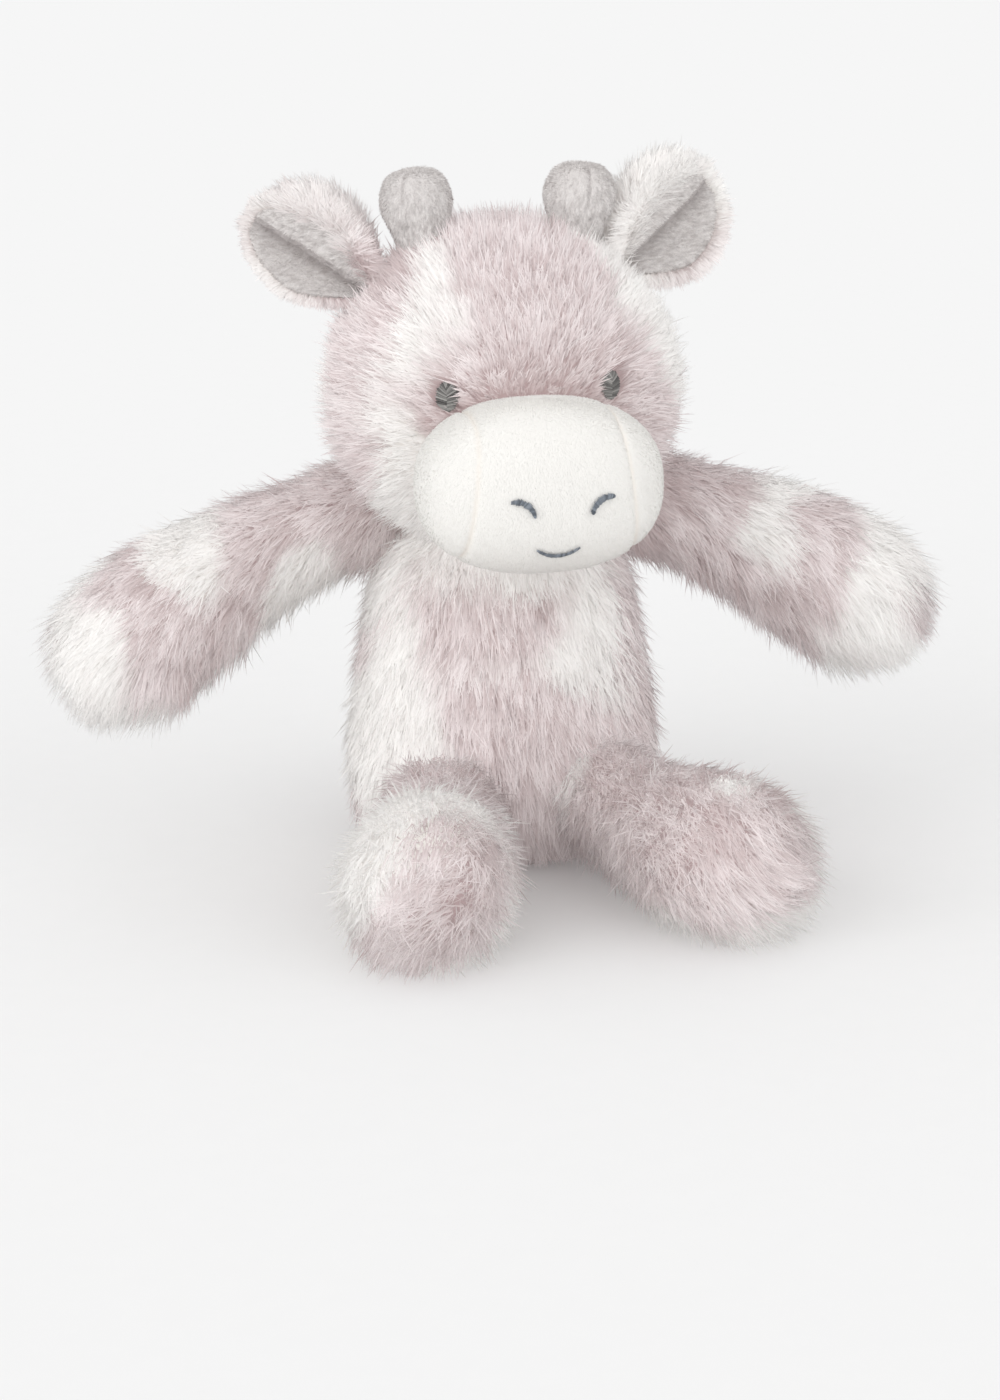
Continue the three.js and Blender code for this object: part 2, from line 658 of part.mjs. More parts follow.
function addLeg(side) {
  const seam = leg(side).root.z;
  addLimb(`${side.name}_leg`, leg(side), [block({ z: [-REACH, 0] })], [
    { part: 'top', half: block({ z: [seam + SEAM_GAP / 2, REACH] }) },
    { part: 'under', half: block({ z: [-REACH, seam - SEAM_GAP / 2] }) },
  ]);
}

// The body's cover and stuffing leave room for the limbs, at rest and as far as they swing.
function addBody() {
  const limbs = [...sides.map(arm), ...sides.map(leg), tail];
  const rooms = limbs.flatMap((limb) => limb.swings.map((degrees) => (
    swung(limbForm(limb, JOINT_GAP), limb.root, limb.hinge, degrees)
  )));
  const trim = (shape) => rooms.reduce((left, room) => left.subtract(room), shape);
  const cover = trim(shell(bodyForm, FUR_COVER)).subtract(neckBall(SEAM_GAP));
  const seam = BODY_SEAM_BACK;
  add('body_front_panel', cover.intersect(block({ y: [-REACH, seam] })), 'fur');
  add('body_back_panel', cover.intersect(block({ y: [seam + SEAM_GAP, REACH] })), 'fur');
  const filling = trim(bodyForm(-FUR_COVER - SEAM_GAP, 2)).add(neckBall(0));
  add('body_stuffing', filling, 'stuffing');
}

// The ring of thread that closes the neck, lying on the stuffing just above the shoulders.
function addNeckStitching() {
  const thread = NECK_THREAD / 2;
  const drop = NECK_RISE + FUR_COVER / 2 - NECK_THREAD;
  const reach = NECK_RADIUS + thread + SEAM_GAP;
  const ring = new THREE.TorusGeometry(
    Math.sqrt(reach ** 2 - drop ** 2),
    thread,
    SMALL_RINGS,
    ROUND_SIDES,
  );
  add('neck_stitching', solid(ring.translate(neck.x, neck.y, neck.z - drop)), 'seamThread');
}

// The tuft is sewn round the end of the tail, hanging on along the tail's own line.
function addTail() {
  const cord = limbForm(tail, 0);
  const end = radians(TAIL_DROOP_END);
  const bend = (tail.endAngle - tail.startAngle) / TAIL_LENGTH;
  const tip = tail.root.clone();
  tip.y += (Math.sin(end) - Math.sin(tail.startAngle)) / bend;
  tip.z -= (Math.cos(tail.startAngle) - Math.cos(end)) / bend;
  const tuft = new THREE.SphereGeometry(1, SMALL_SIDES, SMALL_RINGS);
  tuft.scale(TUFT_RADIUS, TUFT_LENGTH / 2, TUFT_RADIUS);
  tuft.translate(0, TUFT_LENGTH / 4, 0).rotateX(-end).translate(tip.x, tip.y, tip.z);
  add('tail_cord', cord, 'fur');
  add('tail_tuft', solid(tuft).subtract(limbForm(tail, SEAM_GAP)), 'fur');
}

addHeadPanels();
addMuzzlePanels();
addHeadStuffing();
addFace();
sides.forEach(addHorn);
sides.forEach(addEar);
addBody();
addNeckStitching();
sides.forEach(addArm);
sides.forEach(addLeg);
addTail();

export default toy;
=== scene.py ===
"""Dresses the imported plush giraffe: sewn and stuffed skins, brushed fur, short plush, stitched face."""

import itertools
import math
from collections import namedtuple

import bpy
import numpy as np
from mathutils import Matrix, Vector
from mathutils.bvhtree import BVHTree


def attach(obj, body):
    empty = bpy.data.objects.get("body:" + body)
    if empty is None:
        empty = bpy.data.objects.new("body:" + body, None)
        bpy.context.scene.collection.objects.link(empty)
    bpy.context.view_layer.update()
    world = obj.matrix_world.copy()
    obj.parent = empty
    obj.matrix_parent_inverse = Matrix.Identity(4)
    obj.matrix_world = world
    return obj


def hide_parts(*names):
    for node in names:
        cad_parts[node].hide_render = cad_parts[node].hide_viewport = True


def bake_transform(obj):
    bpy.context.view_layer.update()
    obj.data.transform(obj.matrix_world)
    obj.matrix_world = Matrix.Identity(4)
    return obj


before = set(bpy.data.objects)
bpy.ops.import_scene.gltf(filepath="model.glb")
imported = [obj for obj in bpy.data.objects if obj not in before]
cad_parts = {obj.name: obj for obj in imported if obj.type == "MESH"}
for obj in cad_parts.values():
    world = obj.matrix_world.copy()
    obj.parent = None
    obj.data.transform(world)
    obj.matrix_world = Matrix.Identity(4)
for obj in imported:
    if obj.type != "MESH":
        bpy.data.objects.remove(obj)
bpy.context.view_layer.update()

MM = 0.001


def mm(*numbers):
    """Millimetres as metres."""
    return np.array(numbers, float) * MM


# Sizes, as in the CAD source
SIDES = {"left": 1, "right": -1}   # the toy's own left is +x
HEAD_CENTRE = mm(0, -10, 172)
HEAD_HALF = mm(62, 50, 56)
GUSSET_HALF = 16 * MM
MUZZLE_CENTRE = mm(0, -65, 147)
MUZZLE_HALF = mm(44, 33, 31)
MUZZLE_ROUNDING = 2.4
MUZZLE_SEAM = 27 * MM
MUZZLE_SEAM_FLARE = math.radians(7)
BODY_HALF = mm(55, 42)
BODY_HEIGHT = 124 * MM
# Shares of the half sizes and of the height.
BODY_PROFILE = np.array([
    (0.8, 0), (0.97, 0.12), (1, 0.3), (0.93, 0.55), (0.84, 0.8), (0.7, 0.93), (0.4, 0.99), (0, 1),
])
BODY_SEAM = 7 * MM
NECK_AT = mm(0, -4, 124.2)
NECK_RADIUS = 25 * MM
EYE_AT = {"left": mm(28.5, 177), "right": mm(-27.4, 176)}   # the right one is sewn a little nearer the muzzle
EYE_SIZE = mm(8.6, 10)
HORN_ROOT = mm(27, -8)
HORN_SUNK = 6 * MM
HORN_LEAN = math.radians(6)
# Radius and height, in mm.
HORN_PROFILE = np.array([
    (8.5, 0), (9.4, 6), (11.25, 12.7), (13.3, 17.5), (14, 21.1), (13, 26), (10.64, 30.2), (6, 32.3), (0, 33),
])
HORN_DART = {"left": math.radians(3), "right": math.radians(-34)}   # where the tuck in a horn's top runs
EAR_ROOT = mm(40.985, -3, 210.125)
EAR_LENGTH, EAR_WIDTH = 50.0, 39.0   # mm, as everything on the ear's own axes
EAR_TURN = 14.0
EAR_RISE = {"left": 36.0, "right": 21.0}
EAR_TILT = {"left": 2.0, "right": 13.0}   # how far the soft ear has turned about its middle
EAR_LOWER = {"left": 1.0, "right": 0.8}   # how full its lower half is
EAR_SHORT = {"left": (0.4, 0.35), "right": (0.6, 0.45)}   # how much shorter its lower and outer fur is
EAR_LAST = 0.985   # the ear's sheets end at this share of its length
ARM = dict(
    root=mm(44, 12, 126), length=124 * MM, root_radius=18 * MM, end_radius=26 * MM,
    pinch=0.14, bend=(12, 41), flat=0.86,
)
ARM_FORWARD = math.radians(8)
LEG = dict(
    root=mm(30, -34, 25.5), length=112 * MM, root_radius=19 * MM, end_radius=26 * MM,
    pinch=0.22, bend=(8, 26), flat=1.0,
)
TAIL = dict(
    root=mm(0, 39.5, 40), length=46 * MM, root_radius=5.5 * MM, end_radius=5.5 * MM,
    pinch=0.0, bend=(12, 38), flat=1.0,
)
TUFT_LENGTH, TUFT_RADIUS = 30 * MM, 8.5 * MM

# The coats
FUR_SINK = 3 * MM         # the fur's backing lies this far under the CAD surface
PLUSH_SINK = 1 * MM       # the short plush's backing lies this far under it
COAT = 4 * MM             # the marks of dye lie this far out in the fur
TONES = 16                # steps of dye in a coat's palette
SHADES = 6                # steps of light and dark hairs in it
HAIR_ROWS = (0.06, 0.9)   # where hairs start in the palette's height, and how much of it they take
HAIR_THICKNESS = 0.04 * MM
FUR_WIDTH = 0.55 * MM
FUR_SOFTNESS = 0.78       # how much of a hair's shading is its cloth's
MOST_HAIRS = 48000        # hairs in one piece of pile, four triangles each
EDGE_SHARE = 0.4          # hairs of the fur that stand on edge
STRAY_SHARE = 0.12        # hairs of the fur that stand out of the coat
# Hairs on each square millimetre.
PER_MM2 = {
    "head": 2.2, "ear": 3.6, "body": 1.7, "arm": 2.0, "leg": 1.8, "tail": 6.0, "tail_tuft": 14.0,
    "muzzle": 9.5, "horn": 10.0, "ear_lining": 11.0,
}
# Hair lengths in mm: the mean, the spread, the least and the most.
LENGTHS = {
    "muzzle": (1.0, 0.15, 0.5, 1.5), "horn": (1.5, 0.25, 0.6, 2.2), "ear_lining": (1.5, 0.25, 0.8, 2.2),
    "body": (12, 1.8, 4, 16), "tail": (4.5, 0.8, 2, 6.5), "tail_tuft": (12, 2.0, 6, 15),
}
CREAM_PILE = dict(width=0.26, lean=58, softness=0.93, ruffle=0.06, crinkle=0.05)
GREY_PILE = dict(width=0.28, softness=0.8, ruffle=0.3, crinkle=0.5)
PLUSH_COAT = dict(floor=False, undercoat=0.0)
CLOTH_PRESSURE = 4.0
CLOTH_STEPS = 20
SMALL = 1e-6
DOWN = np.array([0.0, 0.0, -1.0])


def smoothstep(x, low=0.0, high=1.0):
    t = np.clip((np.asarray(x, float) - low) / (high - low), 0, 1)
    return t * t * (3 - 2 * t)


def fade(x, low, high):
    """1 below low, 0 above high."""
    return 1 - smoothstep(x, low, high)


def hump(x, width):
    return np.exp(-(x / width) ** 2)


def unit(v):
    return v / np.maximum(np.linalg.norm(v, axis=-1, keepdims=True), 1e-12)


def along_surface(v, normal):
    return v - normal * (v * normal).sum(1, keepdims=True)


def combed(way, normal):
    """The nap of a coat brushed along way."""
    return unit(along_surface(way, normal) + SMALL)


def off_axis(p, base, axis):
    """How far points are along an axis, and the way out to them from it."""
    height = (p - base) @ axis
    return height, p - base - np.outer(height, axis)


def varied(rng, root, part):
    """The lengths of hairs with these roots on a part."""
    mean, spread, least, most = LENGTHS[part]
    return np.clip(mean + spread * rng.normal(size=len(root)), least, most) * MM


# Repeatable noise
HASH_PRIMES = np.array([374761393, 668265263, 2246822519], np.uint32)
HASH_ROUNDS = ((15, 2246822519), (13, 3266489917))


def hashed(cells, seed):
    """One repeatable number from 0 to 1 for each row of whole numbers."""
    n = (cells.astype(np.int64).astype(np.uint32) * HASH_PRIMES).sum(1, dtype=np.uint32)
    n = n + np.uint32(seed * 7919 + 17)
    for shift, prime in HASH_ROUNDS:
        n = (n ^ (n >> np.uint32(shift))) * np.uint32(prime)
    return (n ^ (n >> np.uint32(16))).astype(float) / 2 ** 32


def cloud(p, cell, seed):
    """Smooth noise from -1 to 1 with features about one cell wide."""
    q = p / cell
    base = np.floor(q)
    f = q - base
    f = f * f * (3 - 2 * f)
    total = np.zeros(len(p))
    for corner in itertools.product((0, 1), repeat=3):
        w = np.prod([f[:, a] if corner[a] else 1 - f[:, a] for a in range(3)], axis=0)
        total += w * hashed(base + np.array(corner), seed)
    return total * 2 - 1


def uneven(rng, root, cell, seed, mean, spread, waves):
    """Hair lengths about a mean in mm that rises and falls over the coat, in waves about one cell wide."""
    return (mean + spread * rng.normal(size=len(root)) + waves * cloud(root, cell, seed)) * MM


def cloud3(p, cell, seed):
    return np.stack([cloud(p, cell, seed + 31 * k) for k in range(3)], 1)


def nearest_tuft(p, cell, seed):
    """The middle of the tuft that each hair belongs to, and a number for that tuft."""
    base = np.floor(p / cell)
    best = np.full(len(p), np.inf)
    middle = np.zeros_like(p)
    mark = np.zeros(len(p))
    for step in itertools.product((-1, 0, 1), repeat=3):
        c = base + np.array(step)
        q = (c + np.stack([hashed(c, seed + k) for k in range(3)], 1)) * cell
        d = ((q - p) ** 2).sum(1)
        closer = d < best
        best[closer] = d[closer]
        middle[closer] = q[closer]
        mark[closer] = hashed(c[closer], seed + 3)
    return middle, mark


# Finishes
class Wire:
    """A socket of a finish; arithmetic on it adds Math nodes, and make() adds any other node."""

    def __init__(self, tree, socket=None):
        self.tree, self.socket = tree, socket

    def make(self, kind, settings=None, sockets=None, out=0):
        node = self.tree.nodes.new(kind)
        for key, value in (settings or {}).items():
            setattr(node, key, value)
        for key, value in (sockets or {}).items():
            if isinstance(value, Wire):
                self.tree.links.new(value.socket, node.inputs[key])
            else:
                node.inputs[key].default_value = value
        return Wire(self.tree, node.outputs[out])

    def sum(self, operation, first, second):
        return self.make("ShaderNodeMath", {"operation": operation}, {0: first, 1: second})

    def __add__(self, other):
        return self.sum("ADD", self, other)

    def __mul__(self, other):
        return self.sum("MULTIPLY", self, other)

    def __pow__(self, other):
        return self.sum("POWER", self, other)

    def blend(self, first, second):
        """A colour between two colours, by this value."""
        return self.make("ShaderNodeMix", {"data_type": "RGBA"}, {0: self, 6: first, 7: second}, out=2)

    def attribute(self, name):
        return self.make("ShaderNodeAttribute", {"attribute_name": name}, out="Fac")

    def noise(self, scale, detail):
        where = self.make("ShaderNodeTexCoord", out="Object")
        return self.make("ShaderNodeTexNoise", {}, {"Vector": where, "Scale": scale, "Detail": detail})


def ink(red, green, blue):
    """A colour written as on screen, 0 to 255."""
    c = [v / 255 for v in (red, green, blue)]
    return tuple(v / 12.92 if v <= 0.04045 else ((v + 0.055) / 1.055) ** 2.4 for v in c) + (1.0,)


def finish_of(name, surface, **constants):
    """A material whose colour comes from surface(bench); constants are set on the shader's own sockets."""
    material = bpy.data.materials.new(name)
    material.use_nodes = True
    shader = next(n for n in material.node_tree.nodes if n.type == "BSDF_PRINCIPLED")
    bench = Wire(material.node_tree)
    for socket, value in constants.items():
        shader.inputs[socket.replace("_", " ")].default_value = value
    for socket, wire in surface(bench).items():
        material.node_tree.links.new(wire.socket, shader.inputs[socket])
    return material


def hair_values(bench):
    return [bench.attribute(name) for name in ("dye", "shade", "tip")]


def brushed_fur(bench):
    dye, shade, tip = hair_values(bench)
    # Hairs are painted darker towards their roots: painted shade deep in the coat.
    rise = tip ** 0.8
    white = rise.blend(ink(232, 228, 223), ink(250, 249, 247))
    mauve = rise.blend(ink(176, 154, 154), ink(250, 242, 242))
    coat = dye.blend(white, mauve)
    # shade blends hairs towards this deep mauve: tuft by tuft at random, and as painted shade and painted
    # light where a coat adds them.
    return {"Base Color": (shade * (dye * 0.47 + 0.14)).blend(coat, ink(158, 131, 130))}


def cream_plush(bench):
    dye, shade, tip = hair_values(bench)
    # The pile is painted darker at its roots: painted shade deep in the pile.
    pile = tip.blend(ink(232, 230, 226), ink(242, 241, 238))
    # dye here is the muzzle's painted shade: warmer and darker low down and in the seams.
    warm = (dye * 0.6).blend(pile, ink(238, 227, 214))
    # shade paints faint light and shade of the pile's crinkles.
    return {"Base Color": (shade * 0.05).blend(warm, ink(226, 216, 207))}


def grey_plush(bench):
    dye, shade, tip = hair_values(bench)
    # The pile is painted darker at its roots: painted shade deep in the pile.
    pile = tip.blend(ink(198, 193, 191), ink(246, 242, 240))
    # dye here is painted shade at the horns' feet, in their tucks and along the ears' creases, with a mottle
    # of random tone.
    deep = (dye * 0.75).blend(pile, ink(164, 156, 155))
    # shade paints light and shade of the pile's fine crinkles.
    return {"Base Color": (shade * 0.7).blend(deep, ink(166, 159, 157))}


def thread_finish(dark, pale):
    def surface(bench):
        twist = bench.noise(scale=2600.0, detail=2.0)
        shade = bench.attribute("shade")
        return {
            "Base Color": (shade * 0.7 + twist * 0.3).blend(dark, pale),
            "Roughness": twist * 0.25 + 0.45,
        }
    return surface


FUR = finish_of(
    "brushed_fur", brushed_fur,
    Roughness=0.9, Specular_IOR_Level=0.15, Sheen_Weight=0.3, Sheen_Roughness=0.45,
)
CREAM = finish_of(
    "cream_short_plush", cream_plush,
    Roughness=0.92, Specular_IOR_Level=0.1, Sheen_Weight=0.12, Sheen_Roughness=0.4,
)
GREY = finish_of(
    "grey_short_plush", grey_plush,
    Roughness=0.9, Specular_IOR_Level=0.15, Sheen_Weight=0.2, Sheen_Roughness=0.4,
)
EYE_THREAD, FACE_THREAD, SEAM_THREAD = (
    finish_of(name, thread_finish(ink(*dark), ink(*pale)), Specular_IOR_Level=shine)
    for name, dark, pale, shine in (
        ("eye_thread", (36, 35, 35), (168, 166, 163), 0.35),
        ("face_thread", (60, 67, 76), (152, 159, 168), 0.35),
        ("seam_thread", (190, 172, 174), (226, 212, 214), 0.3),
    )
)


# The modelling bench
def hold(obj):
    bpy.ops.object.select_all(action="DESELECT")
    obj.select_set(True)
    bpy.context.view_layer.objects.active = obj


def drawn(add, **settings):
    """A new primitive, selected alone."""
    bpy.ops.object.select_all(action="DESELECT")
    add(**settings)
    return bpy.context.object


def edited(obj, *steps):
    """Takes an object through steps in Edit Mode, all of it selected at first."""
    hold(obj)
    bpy.ops.object.mode_set(mode="EDIT")
    bpy.ops.mesh.select_all(action="SELECT")
    for step in steps:
        step()
    bpy.ops.object.mode_set(mode="OBJECT")
    return obj


def turn_faces_out():
    bpy.ops.mesh.normals_make_consistent(inside=False)


def extrude_up():
    bpy.ops.mesh.extrude_region_move(TRANSFORM_OT_translate={"value": (0, 0, 1)})


def finish_with(obj, kind, **settings):
    """Adds one modifier and applies it."""
    hold(obj)
    modifier = obj.modifiers.new(kind.lower(), kind)
    for key, value in settings.items():
        setattr(modifier, key, value)
    bpy.ops.object.modifier_apply(modifier=modifier.name)
    return obj


def refined(obj):
    return finish_with(obj, "SUBSURF", levels=1, render_levels=1)


def places(obj):
    co = np.zeros(len(obj.data.vertices) * 3)
    obj.data.vertices.foreach_get("co", co)
    return co.reshape(-1, 3)


def put(obj, co):
    obj.data.vertices.foreach_set("co", np.ascontiguousarray(co, float).ravel())
    obj.data.update()


def tube_through(rings, sides=28):
    """A tube drawn by extruding a circle once for each ring, then set to the rings' places.
    A ring is (middle, first axis, second axis), the axes as long as the ring's half sizes."""
    tube = drawn(bpy.ops.mesh.primitive_circle_add, vertices=sides, radius=1.0, fill_type="NGON")
    edited(tube, *[extrude_up] * (len(rings) - 1))
    co = places(tube)
    index = np.clip(np.rint(co[:, 2]).astype(int), 0, len(rings) - 1)
    middle, first, second = (np.array([r[k] for r in rings]) for k in range(3))
    put(tube, middle[index] + first[index] * co[:, :1] + second[index] * co[:, 1:2])
    return edited(tube, turn_faces_out)


def ball(middle, half):
    """A sphere set to an ellipsoid's half sizes and place."""
    return edited(
        drawn(bpy.ops.mesh.primitive_uv_sphere_add, segments=64, ring_count=40, radius=1.0),
        lambda: bpy.ops.transform.resize(value=tuple(half)),
        lambda: bpy.ops.transform.translate(value=tuple(middle)),
    )


def stuff(skin, voxel, cap, rounding=4, held=None):
    """The padded recipe: voxel remesh, Cloth under pressure with no gravity, a cap on each point's way, one
    subdivision. held(points) gives how firmly seams hold the cloth, 0 to 1."""
    finish_with(skin, "REMESH", mode="VOXEL", voxel_size=voxel)
    finish_with(skin, "SMOOTH", factor=0.5, iterations=rounding)
    start = places(skin)
    cloth = skin.modifiers.new("pressure", "CLOTH")
    cloth.settings.use_pressure = True
    cloth.settings.uniform_pressure_force = CLOTH_PRESSURE
    cloth.settings.effector_weights.gravity = 0.0
    cloth.collision_settings.use_collision = False
    if held is not None:
        seams = skin.vertex_groups.new(name="seams")
        for v, weight in enumerate(held(start)):
            seams.add([v], float(weight), "REPLACE")
        cloth.settings.vertex_group_mass = "seams"
    for step in range(1, CLOTH_STEPS + 1):
        bpy.context.scene.frame_set(step)
    hold(skin)
    bpy.ops.object.modifier_apply(modifier=cloth.name)
    way = places(skin) - start
    far = np.linalg.norm(way, axis=1, keepdims=True)
    put(skin, start + way * np.minimum(1, cap / np.maximum(far, 1e-9)))
    bpy.context.scene.frame_set(1)
    return refined(skin)


def cut_along(skin, *planes):
    """Cuts edges along each seam plane, (point, normal), so that panels part cleanly there."""
    for point, normal in planes:
        edited(skin, lambda: bpy.ops.mesh.bisect(plane_co=tuple(point), plane_no=tuple(normal)))


class Cloth:
    """A skin's points, outward normals and triangles."""

    def __init__(self, skin):
        mesh = skin.data
        mesh.calc_loop_triangles()
        self.points = places(skin)
        normals = np.zeros(len(mesh.vertices) * 3, np.float32)
        mesh.vertices.foreach_get("normal", normals)
        self.normals = normals.reshape(-1, 3).astype(float)
        corners = np.zeros(len(mesh.loop_triangles) * 3, np.int32)
        mesh.loop_triangles.foreach_get("vertices", corners)
        self.triangles = corners.reshape(-1, 3)
        self.faces = np.arange(len(self.triangles))
        self.middles = self.points[self.triangles].mean(1)
        bpy.data.objects.remove(skin)

    def dent(self, depth):
        """Presses the cloth in, point by point, and renews its normals."""
        self.points = self.points - self.normals * depth[:, None]
        a, b, c = (self.points[self.triangles[:, k]] for k in range(3))
        facing_out = np.cross(b - a, c - a)
        fresh = np.zeros_like(self.points)
        for k in range(3):
            np.add.at(fresh, self.triangles[:, k], facing_out)
        self.normals = unit(fresh)
        self.middles = self.points[self.triangles].mean(1)

    def surface(self):
        return BVHTree.FromPolygons(self.points.tolist(), self.triangles.tolist())

    def scatter(self, faces, per_mm2, rng):
        """Hair roots spread evenly over some of the faces, with the surface's normals there."""
        t = self.triangles[faces]
        a, b, c = (self.points[t[:, k]] for k in range(3))
        area = np.linalg.norm(np.cross(b - a, c - a), axis=1) / 2
        count = np.floor(area * per_mm2 * 1e6 + rng.random(len(t))).astype(int)
        pick = np.repeat(np.arange(len(t)), count)
        r, s = np.sqrt(rng.random(len(pick))), rng.random(len(pick))
        weights = np.stack([1 - r, r * (1 - s), r * s], 1)
        root = sum(weights[:, k:k + 1] * self.points[t[pick, k]] for k in range(3))
        normal = sum(weights[:, k:k + 1] * self.normals[t[pick, k]] for k in range(3))
        return root, unit(normal)


def seen_from_front(surface, x, z):
    """The foremost point of a surface at a place seen from the front, and its normal."""
    hit, normal, _, _ = surface.ray_cast(Vector((x, -0.3, z)), Vector((0, 1, 0)))
    return np.array(hit), np.array(normal)


# Hair
Hair = namedtuple("Hair", "points normals shade")
LEAF_FACES = np.array([[0, 2, 1], [1, 2, 3], [4, 5, 6], [5, 7, 6]])
LEAF_TIP = np.array([0.0, 0.5, 0.5, 1.0] * 2)      # how near a leaf's points are to its tip
LEAF_ACROSS = np.array([0.5, 0.1, 0.9, 0.5] * 2)   # where they lie across its column of the palette


def leaning(normal, way, degrees):
    tilt = np.radians(degrees)[:, None]
    return unit(normal * np.cos(tilt) + way * np.sin(tilt))


def turned(side, axis, angle):
    """side turned about axis by an angle, row by row."""
    return side * np.cos(angle)[:, None] + np.cross(axis, side) * np.sin(angle)[:, None]


def leaves(root, half, end, across, face_up, upper, under, shade):
    """Slim pointed hairs: an upper and an under side of two triangles each, a hair's thickness apart."""
    gap = face_up * (HAIR_THICKNESS / 2)
    side = [root, half - across, half + across, end]
    points = np.stack([q + gap for q in side] + [q - gap for q in side], 1)
    normals = np.concatenate([np.repeat(upper[:, None], 4, 1), np.repeat(under[:, None], 4, 1)], 1)
    return Hair(points, normals, shade)


def long_hair(root, normal, nap, length, rng, seed, lean=(46, 75), tuft=4.8, pull=0.6, sag=0.10):
    """Bent, pointed hairs in tufts, leaning with the nap; some stray ones stand out of the coat.
    lean is how far their lower and upper parts lean, in degrees; tuft is a tuft's size in mm."""
    count = len(root)
    drift = 0.30 * along_surface(cloud3(root, 9 * MM, seed), normal)
    way = unit(nap + drift + 0.22 * along_surface(rng.normal(size=(count, 3)), normal))
    stray = rng.random(count) < STRAY_SHARE
    low = lean[0] + 14 * rng.normal(size=count) - 10 * stray
    high = lean[1] + 12 * rng.normal(size=count) + 10 * cloud(root, 6 * MM, seed + 5) - 24 * stray
    middle, mark = nearest_tuft(root, tuft * MM, seed + 9)
    gather = along_surface(middle - root, normal) * np.reshape(pull, (-1, 1))
    reach = length[:, None]
    half = root + leaning(normal, way, low) * reach * 0.45 + gather * 0.35
    end = half + leaning(normal, way, high) * reach * 0.55 + gather * 0.65
    end[:, 2] -= sag * length
    along = unit(end - root)
    most_turn = np.where(rng.random(count) < EDGE_SHARE, 80.0, 28.0)
    turn = np.radians(rng.uniform(-1, 1, count) * most_turn)
    side = turned(unit(np.cross(along, normal)), along, turn)
    across = side * (FUR_WIDTH / 2 * rng.uniform(0.7, 1.25, count)[:, None])
    face_up = unit(np.cross(side, along))
    upper = unit(normal * FUR_SOFTNESS + face_up * (1 - FUR_SOFTNESS))
    edge = np.sin(turn)[:, None] ** 2
    under = unit(along * 0.8 * (1 - edge) + normal * FUR_SOFTNESS * edge - face_up * 0.35)
    # Stray hairs stand out at the coat's outline and are painted lighter: painted light, as where light
    # shines through the fur's edge.
    shade = (mark * 0.65 + rng.random(count) * 0.35) * np.where(stray, 0.3, 1.0)
    return leaves(root, half, end, across, face_up, upper, under, shade)


def short_pile(root, normal, nap, length, rng, seed, lean, width, softness, ruffle, crinkle, grain=DOWN):
    """Short plush: one slim leaf, its width in mm, for each tuft of pile. ruffle is how unevenly it is
    brushed; crinkle is how far it lies in fine waves drawn out along the grain."""
    count = len(root)
    drift = ruffle * along_surface(cloud3(root, 3.2 * MM, seed), normal)
    way = unit(nap + drift + 0.12 * along_surface(rng.normal(size=(count, 3)), normal))
    tilt = lean + 8 * rng.normal(size=count) + 32 * ruffle * cloud(root, 2.2 * MM, seed + 3)
    along = leaning(normal, way, tilt)
    end = root + along * length[:, None]
    side = turned(unit(np.cross(along, normal)), along, np.radians(rng.uniform(-55, 55, count)))
    face_up = unit(np.cross(side, along))
    drawn_out = root + 0.7 * MM * cloud3(root, 3.0 * MM, seed + 5)
    drawn_out = drawn_out - np.outer(drawn_out @ grain, grain) * 0.7
    # wave paints light and shade of the fine crinkles into the hairs' shade: painted light and painted shade.
    wave = np.clip(0.5 + 0.85 * cloud(drawn_out, 0.65 * MM, seed + 6), 0, 1)
    waves = crinkle * along_surface(cloud3(drawn_out, 0.65 * MM, seed + 7), normal)
    upper = unit(normal * softness + face_up * (1 - softness) + waves)
    under = unit(along * 0.8 - face_up * 0.35)
    shade = wave * 0.75 + rng.random(count) * 0.25
    return leaves(root, (root + end) / 2, end, side * (width * MM / 2), face_up, upper, under, shade)


def stepped(value, steps, rng=None):
    """The number of the step that a value from 0 to 1 falls on; rng blurs the borders of the steps."""
    wobble = 0 if rng is None else rng.uniform(-0.5, 0.5, len(value))
    return np.clip(np.floor(value * steps + wobble), 0, steps - 1)


# A layer of a piece: dye and shade are steps of the palette, uv has a row for each corner.
Layer = namedtuple("Layer", "points faces normals dye shade tip uv")


def column(dye, shade, across):
    """A place across the palette: in the column of one step of dye and one of shade."""
    return (dye * SHADES + shade + across) / (TONES * SHADES)


def meshed(name, layers, finish):
    """One piece from layers of triangles."""
    starts = np.cumsum([0] + [len(layer.points) for layer in layers])
    triangles = np.concatenate([layer.faces + start for layer, start in zip(layers, starts)])
    co, normals, dye, shade, tip, uv = (
        np.concatenate([getattr(layer, key) for layer in layers])
        for key in ("points", "normals", "dye", "shade", "tip", "uv")
    )
    mesh = bpy.data.meshes.new(name)
    mesh.vertices.add(len(co))
    mesh.vertices.foreach_set("co", co.ravel())
    mesh.loops.add(triangles.size)
    mesh.loops.foreach_set("vertex_index", triangles.ravel().astype(np.int32))
    mesh.polygons.add(len(triangles))
    mesh.polygons.foreach_set("loop_start", np.arange(0, triangles.size, 3, dtype=np.int32))
    mesh.update(calc_edges=True)
    for key, value in (("dye", (dye + 0.5) / TONES), ("shade", (shade + 0.5) / SHADES), ("tip", tip)):
        mesh.attributes.new(key, "FLOAT", "POINT").data.foreach_set("value", value.astype(np.float32))
    mesh.uv_layers.new(name="OFBake").data.foreach_set("uv", uv.ravel().astype(np.float32))
    mesh.polygons.foreach_set("use_smooth", np.ones(len(triangles), bool))
    mesh.normals_split_custom_set_from_vertices(normals.astype(np.float32))
    mesh.materials.append(finish)
    return shown(name, mesh)


